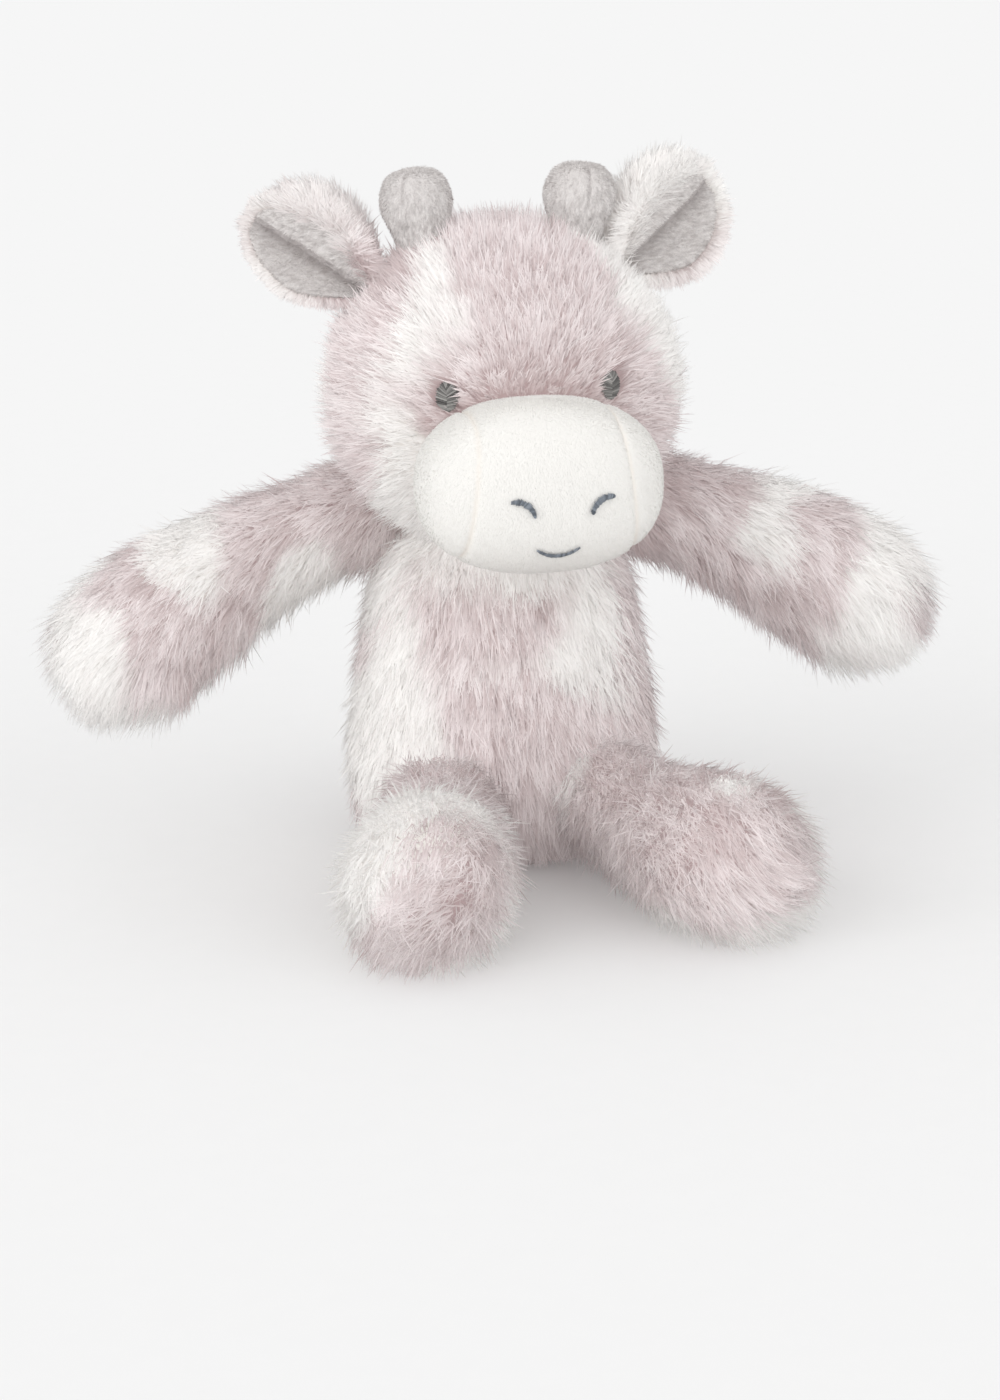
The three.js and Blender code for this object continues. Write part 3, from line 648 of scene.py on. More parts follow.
def shown(name, data):
    """A new object in the scene."""
    made = bpy.data.objects.new(name, data)
    bpy.context.scene.collection.objects.link(made)
    return made


def laid_on_floor(points):
    """Hairs that would pass the floor lie on it, each in a layer of its own; says which hairs those are."""
    low = points[:, :, 2] < 1.2 * MM
    layer = (0.3 + 0.9 * hashed(np.floor(points[:, 0] * 1e5), 3))[:, None] * MM
    layer = layer + np.repeat([-0.5, 0.5], 4) * HAIR_THICKNESS
    points = points.copy()
    points[:, :, 2] = np.where(low, layer, points[:, :, 2])
    return points, low.any(1)


def pile_layer(points, normals, dye, shade):
    """Hairs as one layer: each keeps one column of the palette, and climbs it from root to tip."""
    count, per = points.shape[:2]
    index = ((np.arange(count) * per)[:, None, None] + LEAF_FACES[None]).reshape(-1, 3)
    tip = np.tile(LEAF_TIP, (count, 1))
    u = column(dye[:, None], shade[:, None], LEAF_ACROSS[None])
    uv = np.stack([u, HAIR_ROWS[0] + HAIR_ROWS[1] * tip], 2).reshape(-1, 2)[index.ravel()]
    steps = (np.repeat(value, per) for value in (dye, shade))
    return Layer(points.reshape(-1, 3), index, normals.reshape(-1, 3), *steps, tip.ravel(), uv)


def backing_layer(cloth, faces, dye_of, tip):
    """The bare cloth as one layer, at the foot of the palette."""
    used, index = np.unique(cloth.triangles[faces], return_inverse=True)
    index = index.reshape(-1, 3)
    dye = stepped(dye_of(cloth.points[used]), TONES)
    u = column(dye[index[:, :1]], 0.5, np.array([-0.4, 0.4, 0.0]))
    v = np.tile(np.array([0.01, 0.01, 0.05]), (len(index), 1))
    uv = np.stack([u, v], 2).reshape(-1, 2)
    blank = np.zeros(len(used))
    return Layer(cloth.points[used], index, cloth.normals[used], dye, blank, blank + tip, uv)


def coated(
    name, cloth, faces, hair, dye_of, finish, rng, backing_tip=0.0, floor=True, undercoat=0.06, painted_shade=None,
):
    """A panel's pieces: its backing cloth with a thin undercoat, and the pile over them, in as many pieces as
    its hairs need. Light passes through the pile, as through real fibres."""
    points, normals, shade = hair
    dye = stepped(dye_of(points[:, -1] * 0.6 + points[:, 0] * 0.4), TONES, rng)
    # Painted shade is added to the hairs' shade here, from the places of their roots.
    if painted_shade is not None:
        shade = shade + painted_shade(points[:, 0])
    shade = stepped(np.clip(shade, 0, 1), SHADES)
    under = rng.random(len(points)) < undercoat
    if floor:
        points, laid = laid_on_floor(points)
        under &= ~laid

    def pile(chosen):
        return pile_layer(points[chosen], normals[chosen], dye[chosen], shade[chosen])

    backing = [backing_layer(cloth, faces, dye_of, backing_tip)]
    if undercoat:
        backing.append(pile(np.flatnonzero(under)))
    pieces = [meshed(f"{name}_backing", backing, finish)]
    over = np.flatnonzero(~under)
    for k, share in enumerate(np.array_split(over, math.ceil(len(over) / MOST_HAIRS)), 1):
        coat = meshed(name if k == 1 else f"{name}_{k}", [pile(share)], finish)
        coat.visible_shadow = False
        coat.visible_diffuse = False
        pieces.append(coat)
    return pieces


# Where the dye falls: listed marks, those at the back guessed
# On the head: degrees to its left from straight ahead, degrees up.
HEAD_MARKS = {
    "mauve": (
        (-20, 60), (20, 65), (-25, 45), (35, 45), (-20, 25), (-10, 25), (10, 30), (25, 35), (-5, 10),
        (15, 10), (-30, 5), (-35, 0), (-40, 5), (-45, 5), (30, 15), (40, 5), (50, -15),
        (-65, 45), (-60, 35), (-55, 40), (-75, -20), (-90, 55), (-90, 80),
        (-150, -25), (-150, 55), (-130, 20), (100, -20), (130, 0), (150, 45), (180, 10),
    ),
    "white": (
        (-45, 50), (-35, 40), (-40, 35), (-35, 30), (-40, 20), (-45, 10), (-50, -5), (-45, -10), (-50, -20),
        (-50, -35), (-55, -40), (50, 35), (65, 40), (70, 15), (100, 55),
        (-170, -25), (-160, 25), (-110, -5), (120, -35), (125, 25), (155, 15), (160, -25), (180, 55),
    ),
    "pale": (
        (-80, -20), (-80, 25), (-80, 40), (-70, 0), (-65, 0), (-60, -15), (-60, 20),
        (-30, 35), (-25, 25), (30, 30), (40, 25), (60, -30),
    ),
}
# On the arms: share of the length, degrees up from the front.
ARM_MARKS = {
    "left": {
        "mauve": (
            (0.2, 30), (0.25, 60), (0.25, -10), (0.3, 40), (0.3, 10), (0.3, -20), (0.35, 50), (0.4, -30),
            (0.5, -30), (0.5, -70), (0.55, 20), (0.55, 40), (0.6, -10), (0.6, -30), (0.65, 40), (0.65, 10),
            (0.65, -70), (0.7, 30), (0.7, -30), (0.95, 30),
            (0.15, 150), (0.4, 150), (0.75, 150), (0.75, -120),
        ),
        "white": (
            (0.45, 60), (0.45, 30), (0.45, 20), (0.45, 0), (0.5, 0), (0.55, 0), (0.8, 60), (0.8, 30),
            (0.8, 10), (0.8, -10), (0.8, -30), (0.85, 50), (0.85, 10), (0.9, 30), (0.9, 50), (0.95, -20),
            (0.95, -50), (0.3, -170), (0.55, 150), (0.9, 130),
        ),
    },
    "right": {
        "mauve": (
            (0.15, 30), (0.15, -10), (0.25, 60), (0.25, 20), (0.35, 60), (0.4, 20), (0.4, 40), (0.45, 10),
            (0.5, -10), (0.6, -10), (0.6, -40), (0.65, 10), (0.7, -10), (0.7, 30), (0.75, 50), (0.8, 70),
            (0.8, -10), (0.85, 10), (0.9, -10), (0.9, -40), (0.1, 160), (0.35, 140), (0.7, 150), (0.9, 150),
        ),
        "white": (
            (0.5, 70), (0.5, 40), (0.55, 40), (0.55, 10), (0.6, 50), (0.6, 30), (0.25, -20), (0.3, -20),
            (0.35, -50), (0.9, 60), (0.9, 50), (0.95, 40), (0.95, 0), (0.95, -50),
            (0.25, -160), (0.55, 150), (0.65, -110), (0.85, 100),
        ),
    },
}
DYE = {"mauve": 1.0, "white": 0.0, "pale": 0.75}


def on_head_coat(turn, rise):
    """The place of a mark on the head."""
    turn, rise = math.radians(turn), math.radians(rise)
    way = (math.sin(turn) * math.cos(rise), -math.cos(turn) * math.cos(rise), math.sin(rise))
    return HEAD_CENTRE + (HEAD_HALF + COAT) * np.array(way)


def patches(marks, place, reach, wander, seed):
    """Dye from soft-edged patches: each point takes after the marks nearest to it."""
    spots = np.array([place(*mark) for listed in marks.values() for mark in listed])
    is_mauve = np.concatenate([np.full(len(listed), DYE[name]) for name, listed in marks.items()])

    def dye_of(p):
        q = p + cloud3(p, 11 * MM, seed) * wander * MM
        d = ((q[:, None] - spots[None]) ** 2).sum(2) / (reach * MM) ** 2
        w = np.exp(-(d - d.min(1, keepdims=True)))
        share = (w * is_mauve).sum(1) / w.sum(1)
        return smoothstep(share + 0.12 * cloud(p, 5 * MM, seed + 9), 0.08, 0.92)
    return dye_of


def scattered_patches(cell, seed):
    """Dye for the parts out of sight in the photo: soft blotches, about as much mauve as white."""
    def dye_of(p):
        blotch = cloud(p, cell * MM, seed) + 0.45 * cloud(p, cell * 0.45 * MM, seed + 7)
        return smoothstep(blotch + 0.12, -0.16, 0.22)
    return dye_of


# The forms that the coats grow around
class Limb:
    """A bent, stuffed limb on its own spine: the same bend and swell as its CAD solids."""

    def __init__(self, size, ahead, aside, steps=60):
        self.size = size
        ahead, aside = np.array(ahead, float), np.array(aside, float)
        self.third = np.cross(ahead, aside)
        self.front = -self.third * np.sign(self.third[1])
        self.s = np.linspace(0, 1, steps + 1)
        first, last = size["bend"]
        bend = np.radians(first + (last - first) * self.s)
        self.way = np.cos(bend)[:, None] * ahead + np.sin(bend)[:, None] * aside
        step = (self.way[1:] + self.way[:-1]) / 2 * size["length"] / steps
        self.spine = np.concatenate([[size["root"]], size["root"] + np.cumsum(step, 0)])

    def radius(self, s):
        z = self.size
        straight = (z["length"] - z["end_radius"]) / z["length"]
        swell = np.clip(s / straight, 0, 1)
        r = z["root_radius"] + (z["end_radius"] - z["root_radius"]) * smoothstep(swell)
        r = r * (1 - z["pinch"] * np.sin(np.pi * swell) ** 2 * (1 - swell))
        over = np.clip((s - straight) / (1 - straight), 0, 1)
        return r * np.sqrt(np.maximum(0, 1 - over ** 2))

    def ring(self, k, r, shift):
        across = np.cross(self.third, self.way[k])
        return self.spine[k] + self.way[k] * shift, across * r, self.third * self.size["flat"] * r

    def rings(self, sink):
        """Rings from the rounded root to the rounded end, drawn in by sink."""
        made, least = [], 0.1 * MM
        root = max(self.size["root_radius"] - sink, least)
        for back in np.linspace(-1, 0, 6)[:-1]:
            made.append(self.ring(0, root * math.sqrt(max(1e-4, 1 - back ** 2)), back * root * 0.999))
        for k in range(0, len(self.s), 2):
            pull = sink * smoothstep(self.s[k], 0.7, 1.0)
            made.append(self.ring(k, max(self.radius(self.s[k]) - sink, least), -pull))
        return made

    def nearest(self, p):
        """The place along the spine nearest each point: (share of the length, direction there, distance)."""
        d = ((p[:, None] - self.spine[None]) ** 2).sum(2)
        k = d.argmin(1)
        return self.s[k], self.way[k], np.sqrt(d[np.arange(len(p)), k])

    def on_coat(self, share, turn):
        """The place of a mark on the limb."""
        k = round(share * (len(self.s) - 1))
        up = np.cross(self.way[k], self.front)
        up = up * np.sign(up[2])
        out = self.front * math.cos(math.radians(turn)) + up * math.sin(math.radians(turn))
        return self.spine[k] + out * (self.radius(self.s[k]) + COAT)

    def holds(self, p, less):
        s, _, d = self.nearest(p)
        return d < self.radius(np.minimum(s, 0.78)) - less


def mirrored(size, side):
    return dict(size, root=size["root"] * np.array([side, 1, 1]))


ARMS = {
    name: Limb(mirrored(ARM, side), (side * math.cos(ARM_FORWARD), -math.sin(ARM_FORWARD), 0), (0, 0, -1))
    for name, side in SIDES.items()
}
LEGS = {name: Limb(mirrored(LEG, side), (0, -1, 0), (side, 0, 0)) for name, side in SIDES.items()}


def muzzle_share(p, grow=0.0):
    """How far points are out from the muzzle's middle, 1 at its surface."""
    q = np.abs(p - MUZZLE_CENTRE) / (MUZZLE_HALF + grow)
    return (q ** MUZZLE_ROUNDING).sum(1) ** (1 / MUZZLE_ROUNDING)


def in_head(p, grow):
    q = (p - HEAD_CENTRE) / (HEAD_HALF + grow)
    return (q ** 2).sum(1) < 1


def in_body(p, grow):
    share = np.interp(p[:, 2] / BODY_HEIGHT, BODY_PROFILE[:, 1], BODY_PROFILE[:, 0])
    return np.hypot(*(p[:, k] / (share * BODY_HALF[k] + grow) for k in (0, 1))) < 1


# Handing the pieces to the frame
def dress(piece, body, slot, *nodes, fill=None):
    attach(piece, body)
    if nodes:
        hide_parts(*nodes)


def dress_panel(panel, body, slot, *nodes, fill):
    """A panel's backing stands for its CAD solids; its pile rides along."""
    backing, *piles = panel
    dress(backing, body, slot, *nodes, fill=fill)
    for pile in piles:
        dress(pile, body, slot)


# Head
def head_skin():
    swell = 1.5 * MM
    skin = stuff(ball(HEAD_CENTRE, HEAD_HALF - FUR_SINK - swell), voxel=4.5 * MM, cap=swell)
    cut_along(skin, *(((side * GUSSET_HALF, 0, 0), (1, 0, 0)) for side in (1, -1)))
    return Cloth(skin)


HEAD = head_skin()
HEAD_SURFACE = HEAD.surface()
EYES = {name: seen_from_front(HEAD_SURFACE, *place) for name, place in EYE_AT.items()}
EYE_CLEAR = 5 * MM   # hairs don't reach nearer than this to the middle of an eye


def horn_frame(side):
    """The horn's root and its axis, leaning outwards."""
    x, y = HORN_ROOT[0] / HEAD_HALF[0], (HORN_ROOT[1] - HEAD_CENTRE[1]) / HEAD_HALF[1]
    rise = HEAD_HALF[2] * math.sqrt(1 - x ** 2 - y ** 2)
    root = np.array([side * HORN_ROOT[0], HORN_ROOT[1], HEAD_CENTRE[2] + rise - HORN_SUNK])
    return root, np.array([side * math.sin(HORN_LEAN), 0, math.cos(HORN_LEAN)])


def grows_on_head(p):
    """Where the head's fur grows: not under the muzzle, horns and eyes, and not inside the neck seam."""
    keep = muzzle_share(p, -2.2 * MM) >= 1
    keep &= (p[:, 2] > 121 * MM) | (np.hypot(p[:, 0] - NECK_AT[0], p[:, 1] - NECK_AT[1]) > 22 * MM)
    for side in SIDES.values():
        _, away = off_axis(p, *horn_frame(side))
        keep &= np.linalg.norm(away, axis=1) > 7.5 * MM
    for eye, _ in EYES.values():
        q = (p - eye)[:, [0, 2]] / (EYE_SIZE * 0.5)
        keep &= (q ** 2).sum(1) > 0.95
    return keep


def clear_of_eyes(root, nap, length):
    """Shortens the hairs that are brushed towards an eye."""
    for eye, _ in EYES.values():
        q = root - eye
        upstream = -(q * nap).sum(1)
        across = np.linalg.norm(q + nap * upstream[:, None], axis=1)
        rim = np.sqrt(np.maximum(0, EYE_CLEAR ** 2 - across ** 2))
        room = np.maximum(1.5 * MM, (upstream - rim + 1.3 * MM) / 0.8)
        close = (across < EYE_CLEAR) & (upstream > 0)
        length = np.where(close, np.minimum(length, room), length)
    return length


def head_hair(faces, rng, seed=11):
    """Fur brushed away from the muzzle, short beside it and standing up on the crown."""
    root, normal = HEAD.scatter(faces, PER_MM2["head"], rng)
    keep = grows_on_head(root)
    root, normal = root[keep], normal[keep]
    nap = combed(unit(root - mm(0, -60, 148)) + 0.25 * np.array([0.0, 0.35, 0.1]), normal)
    length = uneven(rng, root, 14 * MM, seed, mean=12.0, spread=1.9, waves=1.3)
    length *= 0.5 + 0.5 * smoothstep(muzzle_share(root), 0.95, 1.35)
    length = clear_of_eyes(root, nap, length)
    crown = smoothstep(root[:, 2], 205 * MM, 225 * MM)
    length = np.clip(length * (1 + 0.25 * crown), 1.5 * MM, 18 * MM)
    return long_hair(root, normal, nap, length, rng, seed, lean=(46 - 18 * crown, 75 - 22 * crown))


def head_painted_shade(p):
    """Painted shade: hairs are darker where they meet the muzzle, the horns and the ears."""
    painted_shade = 0.45 * fade(muzzle_share(p), 0.98, 1.10)
    for side in SIDES.values():
        _, away = off_axis(p, *horn_frame(side))
        nook = p - mm(side * 40, -20, 213)
        painted_shade += 0.5 * fade(np.linalg.norm(away, axis=1), 9 * MM, 13 * MM)
        painted_shade += fade(np.linalg.norm(nook, axis=1), 6 * MM, 15 * MM)
    return painted_shade


def make_head():
    x = HEAD.middles[:, 0]
    panels = {
        "head_crown_fur": (np.abs(x) <= GUSSET_HALF, ("head_crown_gusset", "head_stuffing")),
        "head_left_fur": (x > GUSSET_HALF, ("head_left_panel",)),
        "head_right_fur": (x < -GUSSET_HALF, ("head_right_panel",)),
    }
    dye_of = patches(HEAD_MARKS, on_head_coat, reach=10, wander=4.5, seed=50)
    for k, (name, (mask, nodes)) in enumerate(panels.items()):
        rng = np.random.default_rng(100 + k)
        faces = np.flatnonzero(mask)
        panel = coated(name, HEAD, faces, head_hair(faces, rng), dye_of, FUR, rng, painted_shade=head_painted_shade)
        dress_panel(panel, "head", "fur", *nodes, fill=0.7)


# Muzzle
def seam_place(p):
    """How far from the middle the muzzle's seams run at the height of each point."""
    return MUZZLE_SEAM - math.tan(MUZZLE_SEAM_FLARE) * (p[:, 2] - MUZZLE_CENTRE[2])


def seam_distance(p):
    return np.abs(np.abs(p[:, 0]) - seam_place(p))


def muzzle_skin():
    skin = ball((0, 0, 0), (1, 1, 1))
    co = places(skin)
    size = (np.abs(co) ** MUZZLE_ROUNDING).sum(1, keepdims=True) ** (1 / MUZZLE_ROUNDING)
    swell = 1.0 * MM
    put(skin, co / size * (MUZZLE_HALF - (PLUSH_SINK + swell)) + MUZZLE_CENTRE)
    stuff(skin, voxel=3.0 * MM, cap=1.4 * MM, rounding=2, held=lambda p: hump(seam_distance(p), 2.2 * MM))
    for side in (-1, 1):
        across = (side * math.cos(MUZZLE_SEAM_FLARE), 0, math.sin(MUZZLE_SEAM_FLARE))
        cut_along(skin, ((side * MUZZLE_SEAM, 0, MUZZLE_CENTRE[2]), across))
    cloth = Cloth(skin)
    cloth.dent(0.8 * MM * hump(seam_distance(cloth.points), 1.2 * MM))
    return cloth


MUZZLE = muzzle_skin()
MUZZLE_SURFACE = MUZZLE.surface()


def muzzle_painted_shade(p):
    """Painted shade: the plush is warmer and darker low down, under the muzzle, and in the seams' grooves."""
    low = smoothstep(MUZZLE_CENTRE[2] - p[:, 2], 2 * MM, 30 * MM)
    return np.clip(0.12 * low + 0.55 * hump(seam_distance(p), 0.8 * MM), 0, 1)


def make_muzzle():
    side, seam = MUZZLE.middles[:, 0], seam_place(MUZZLE.middles)
    outside = ~in_head(MUZZLE.middles, -8 * MM)
    panels = {"center": np.abs(side) <= seam, "left": side > seam, "right": side < -seam}
    for k, (name, mask) in enumerate(panels.items()):
        rng = np.random.default_rng(200 + k)
        faces = np.flatnonzero(mask & outside)
        root, normal = MUZZLE.scatter(faces, PER_MM2["muzzle"], rng)
        length = varied(rng, root, "muzzle")
        length *= 0.45 + 0.55 * smoothstep(seam_distance(root), 0.2 * MM, 1.6 * MM)
        hair = short_pile(root, normal, combed(DOWN, normal), length, rng, seed=21, **CREAM_PILE)
        panel = coated(
            f"muzzle_{name}_plush", MUZZLE, faces, hair, muzzle_painted_shade, CREAM, rng,
            backing_tip=0.35, **PLUSH_COAT,
        )
        dress_panel(panel, "head", "muzzle_plush", f"muzzle_{name}_panel", fill=0.75)


# Horns
def make_horn(name):
    side = SIDES[name]
    base, axis = horn_frame(side)
    first = unit(np.cross(np.array([0, 1.0, 0]), axis))
    second = np.cross(axis, first)

    def dart(p, width, starts, stops):
        """How near points are to the tuck in the horn's top, 0 to 1; it starts and stops at heights in mm."""
        height, off = off_axis(p, base, axis)
        turn = np.arctan2(off @ first, -(off @ second)) - HORN_DART[name]
        near = hump(turn * np.linalg.norm(off, axis=1), width * MM)
        return near * smoothstep(height / MM, *starts) * fade(height / MM, *stops)

    # Painted shade at the horn's foot and in the tuck at its top, and a mottle of random tone.
    def painted_shade_and_mottle(p):
        foot = fade((p - base) @ axis / MM, 3, 15)
        mottle = np.clip(cloud(p, 5 * MM, 8), 0, 1)
        return 0.45 * foot + 0.2 * mottle + 0.6 * dart(p, width=0.45, starts=(21, 23), stops=(30, 32))

    heights = np.concatenate([[-2.0], np.linspace(0, 33, 23)])
    radii = np.interp(heights, HORN_PROFILE[:, 1], HORN_PROFILE[:, 0]) - PLUSH_SINK / MM - 0.6
    rings = [
        (base + axis * min(h, 32.0) * MM, first * r * MM, second * r * MM)
        for h, r in zip(heights, np.maximum(radii, 0.3))
    ]
    cloth = Cloth(stuff(tube_through(rings, sides=32), voxel=2.2 * MM, cap=0.9 * MM, rounding=5))
    cloth.dent(dart(cloth.points, width=0.9, starts=(20, 23), stops=(30.5, 32.5)) * 0.9 * MM)
    rng = np.random.default_rng(300 + side)
    root, normal = cloth.scatter(cloth.faces, PER_MM2["horn"], rng)
    keep = ~in_head(root, -5 * MM)
    root, normal = root[keep], normal[keep]
    nap = combed(DOWN + 0.3 * cloud3(root, 6 * MM, 5), normal)
    length = varied(rng, root, "horn")
    hair = short_pile(root, normal, nap, length, rng, seed=31, lean=44, grain=axis, **GREY_PILE)
    panel = coated(
        f"{name}_horn_plush", cloth, cloth.faces, hair, painted_shade_and_mottle, GREY, rng, backing_tip=0.3, **PLUSH_COAT,
    )
    dress_panel(panel, "head", "grey_plush", f"{name}_horn_cover", f"{name}_horn_stuffing", fill=0.7)


# Ears
# Sections across the ear, in shares of its half width: (across, forward).
EAR_BACK_SECTION = np.array([
    (-0.96, 0.20), (-0.98, 0.08), (-0.75, -0.10), (-0.35, -0.20), (0.10, -0.24), (0.52, -0.18), (0.86, 0.02),
    (0.98, 0.28), (0.92, 0.50), (0.74, 0.54), (0.58, 0.43),
])
EAR_LINING_SECTION = np.array([
    (-0.98, 0.08), (-0.95, 0.20), (-0.72, 0.14), (-0.40, 0.04), (-0.12, -0.03), (0.10, -0.08), (0.06, 0.12),
    (0.0, 0.28), (0.16, 0.37), (0.38, 0.42), (0.62, 0.44),
])


class Ear:
    """An ear folded lengthwise: its upper half rolls forward over the crease."""

    def __init__(self, name):
        self.name, self.side = name, SIDES[name]
        level, tilted = (self.placed(EAR_RISE[name] + tilt) for tilt in (0, EAR_TILT[name]))
        self.axes = tilted
        self.outward, self.forward, self.upward = self.axes.T
        middle = mm(EAR_LENGTH / 2, 0, 0)
        self.root = EAR_ROOT * np.array([self.side, 1, 1]) + (level - tilted) @ middle

    def placed(self, rise):
        lift = Matrix.Rotation(-math.radians(rise) * self.side, 3, "Y")
        turn = Matrix.Rotation(math.radians(EAR_TURN) * self.side, 3, "Z")
        return np.array(lift @ turn) @ np.diag([self.side, -1.0, 1.0])

    def local(self, p):
        """Points on the ear's own axes, in mm: along it, forward and across."""
        return (p - self.root) @ self.axes / MM

    def half_width(self, u):
        plan = np.sqrt(np.maximum(0, 1 - (2 * u - 1) ** 2))
        taper = 0.56 + 0.44 * smoothstep(u, 0, 0.55)
        return EAR_WIDTH / 2 * np.maximum(plan * taper, 0.42 * fade(u, 0.0, 0.25))

    def across(self, q):
        """How far points on the ear's axes are across it, in shares of its half width."""
        return q[:, 2] / np.maximum(self.half_width(np.clip(q[:, 0] / EAR_LENGTH, 0, 1)), 3)

    def sheet(self, section, us, per_side, inset=0.0):
        """Points of a surface drawn from one section along the ear: (steps along, steps across, 3)."""
        gone = np.concatenate([[0], np.cumsum(np.linalg.norm(np.diff(section, axis=0), axis=1))])
        v = np.linspace(0, gone[-1], per_side)
        across, forward = (np.interp(v, gone, section[:, k]) for k in (0, 1))
        for line in (across, forward, across, forward):
            line[1:-1] = (line[:-2] + 2 * line[1:-1] + line[2:]) / 4
        across = np.where(across < 0, across * EAR_LOWER[self.name], across)
        h = self.half_width(us)[:, None] - inset
        depth = 0.72 + 0.28 * smoothstep(us, 0.0, 0.5)[:, None]
        local = np.stack([
            np.repeat((us * EAR_LENGTH)[:, None], per_side, 1),
            forward[None] * EAR_WIDTH / 2 * depth * smoothstep(1 - us, 0, 0.3)[:, None] ** 0.5,
            across[None] * h,
        ], 2) * MM
        return local @ self.axes.T + self.root

    def cloth(self, section, us, per_side, way, inset=0.0):
        """The sheet as cloth that faces way."""
        rows = self.sheet(section, us, per_side, inset)
        a, b = rows.shape[:2]
        made = drawn(bpy.ops.mesh.primitive_grid_add, x_subdivisions=b - 1, y_subdivisions=a - 1, size=2)
        co = places(made)
        i, j = (
            np.clip(np.rint((co[:, axis] + 1) / 2 * (n - 1)).astype(int), 0, n - 1)
            for axis, n in ((1, a), (0, b))
        )
        put(made, rows[i, j])
        mean = sum((p.normal * p.area for p in made.data.polygons), Vector())
        if mean.dot(Vector(way)) < 0:
            made.data.flip_normals()
        return Cloth(refined(made))

    def steps(self, first, last, count):
        """Shares of the ear's length, closer together towards both ends."""
        us = 0.5 - 0.5 * np.cos(np.linspace(first, last, count) * math.pi)
        return np.clip(us, 0.0, EAR_LAST)


def ear_hair(ear, cloth, rng):
    """Fur over the ear's back, and a fringe that fans out from its rim."""
    root, normal = cloth.scatter(cloth.faces, PER_MM2["ear"], rng)
    q = ear.local(root)
    spread = ear.outward * (0.75 + 0.5 * smoothstep(q[:, :1], 25, 50))
    nap = combed(spread + ear.upward * ear.across(q)[:, None] * 0.8, normal)
    rim = ear.sheet(EAR_BACK_SECTION, np.linspace(0.10, EAR_LAST, 900), 44)
    rim = np.concatenate([rim[:, 0], rim[:, 1], rim[:, -1], rim[:, -2], np.repeat(rim[-1], 8, 0)])
    rim = rim + 0.4 * MM * rng.normal(size=rim.shape) + ear.forward * 0.8 * MM
    from_middle = ear.local(rim) - np.array([EAR_LENGTH * 0.45, 4.0, 0])
    fan = unit((from_middle * np.array([0.8, 0, 1.0])) @ ear.axes.T)
    on_rim = np.arange(len(root) + len(rim)) >= len(root)
    root = np.concatenate([root, rim])
    nap = np.concatenate([nap, fan])
    normal = np.concatenate([normal, np.tile(ear.forward, (len(rim), 1))])
    q = ear.local(root)
    length = (9.0 + 1.5 * rng.normal(size=len(root))) * MM
    length *= 0.8 + 0.2 * smoothstep(q[:, 0], 0, 12)
    lower = smoothstep(-ear.across(q), 0.2, 0.8)
    outer = smoothstep(q[:, 0] / EAR_LENGTH, 0.7, 1.0)
    shorter = EAR_SHORT[ear.name]
    length *= 1 - np.maximum(shorter[0] * lower, shorter[1] * outer)
    return long_hair(
        root, normal, nap, np.clip(length, 2.5 * MM, 12 * MM), rng, seed=41 + ear.side,
        lean=(30 + 25 * on_rim, 58 + 20 * on_rim), tuft=5, pull=0.6 - 0.5 * on_rim, sag=0.06,
    )


def make_ear(name):
    ear = Ear(name)
    rng = np.random.default_rng(400 + ear.side)

    def dye_of(p):
        q = ear.local(p)
        if name == "right":
            value = 0.38 + 0.6 * fade(q[:, 0], 6, 24) + 0.3 * cloud(p, 14 * MM, 71)
            value -= 0.1 * smoothstep(q[:, 2], 5, 18)
        else:
            value = 0.05 + 0.55 * smoothstep(-q[:, 2], 8, 20) + 0.12 * cloud(p, 14 * MM, 72)
        return np.clip(value, 0, 1)

    # Painted shade on the fur near the ear's root, where it meets the head.
    def ear_root_painted_shade(p):
        return 0.8 * fade(ear.local(p)[:, 0], 3, 16)

    # Painted shade along the crease, on the lower lobe, and a mottle of random tone.
    def painted_shade_and_mottle(p):
        q = ear.local(p)
        crease = np.where(q[:, 2] < 1.0, fade(1.0 - q[:, 2], 0, 7.5), 0.0)
        return 0.9 * crease + 0.2 * np.clip(cloud(p, 4 * MM, 9), 0, 1)

    back = ear.cloth(EAR_BACK_SECTION, ear.steps(0.06, 1, 26), per_side=44, way=-ear.forward)
    hair = ear_hair(ear, back, rng)
    panel = coated(f"{name}_ear_fur", back, back.faces, hair, dye_of, FUR, rng, painted_shade=ear_root_painted_shade)
    dress_panel(panel, f"{name}_ear", "fur", f"{name}_ear_back", fill=0.25)

    us = ear.steps(0.09, 0.96, 30)
    inset = 0.8 * fade(us, 0.9, EAR_LAST)[:, None]
    lining = ear.cloth(EAR_LINING_SECTION, us, per_side=40, way=ear.forward, inset=inset)
    root, normal = lining.scatter(lining.faces, PER_MM2["ear_lining"], rng)
    nap = combed(ear.outward * 0.6 - ear.upward * 0.8 + 0.8 * cloud3(root, 3.5 * MM, 6), normal)
    length = varied(rng, root, "ear_lining")
    grain = unit(ear.outward * 0.8 - ear.upward * 0.6)
    hair = short_pile(root, normal, nap, length, rng, seed=51, lean=46, grain=grain, **GREY_PILE)
    panel = coated(
        f"{name}_ear_plush", lining, lining.faces, hair, painted_shade_and_mottle, GREY, rng, backing_tip=0.25, **PLUSH_COAT,
    )
    dress_panel(panel, f"{name}_ear", "grey_plush", f"{name}_ear_lining", fill=0.2)


# Body
NECK_STUB = ((100, 22), (112, 24), (122, 24), (130, 22), (136, 16), (138, 6))   # height and radius, mm


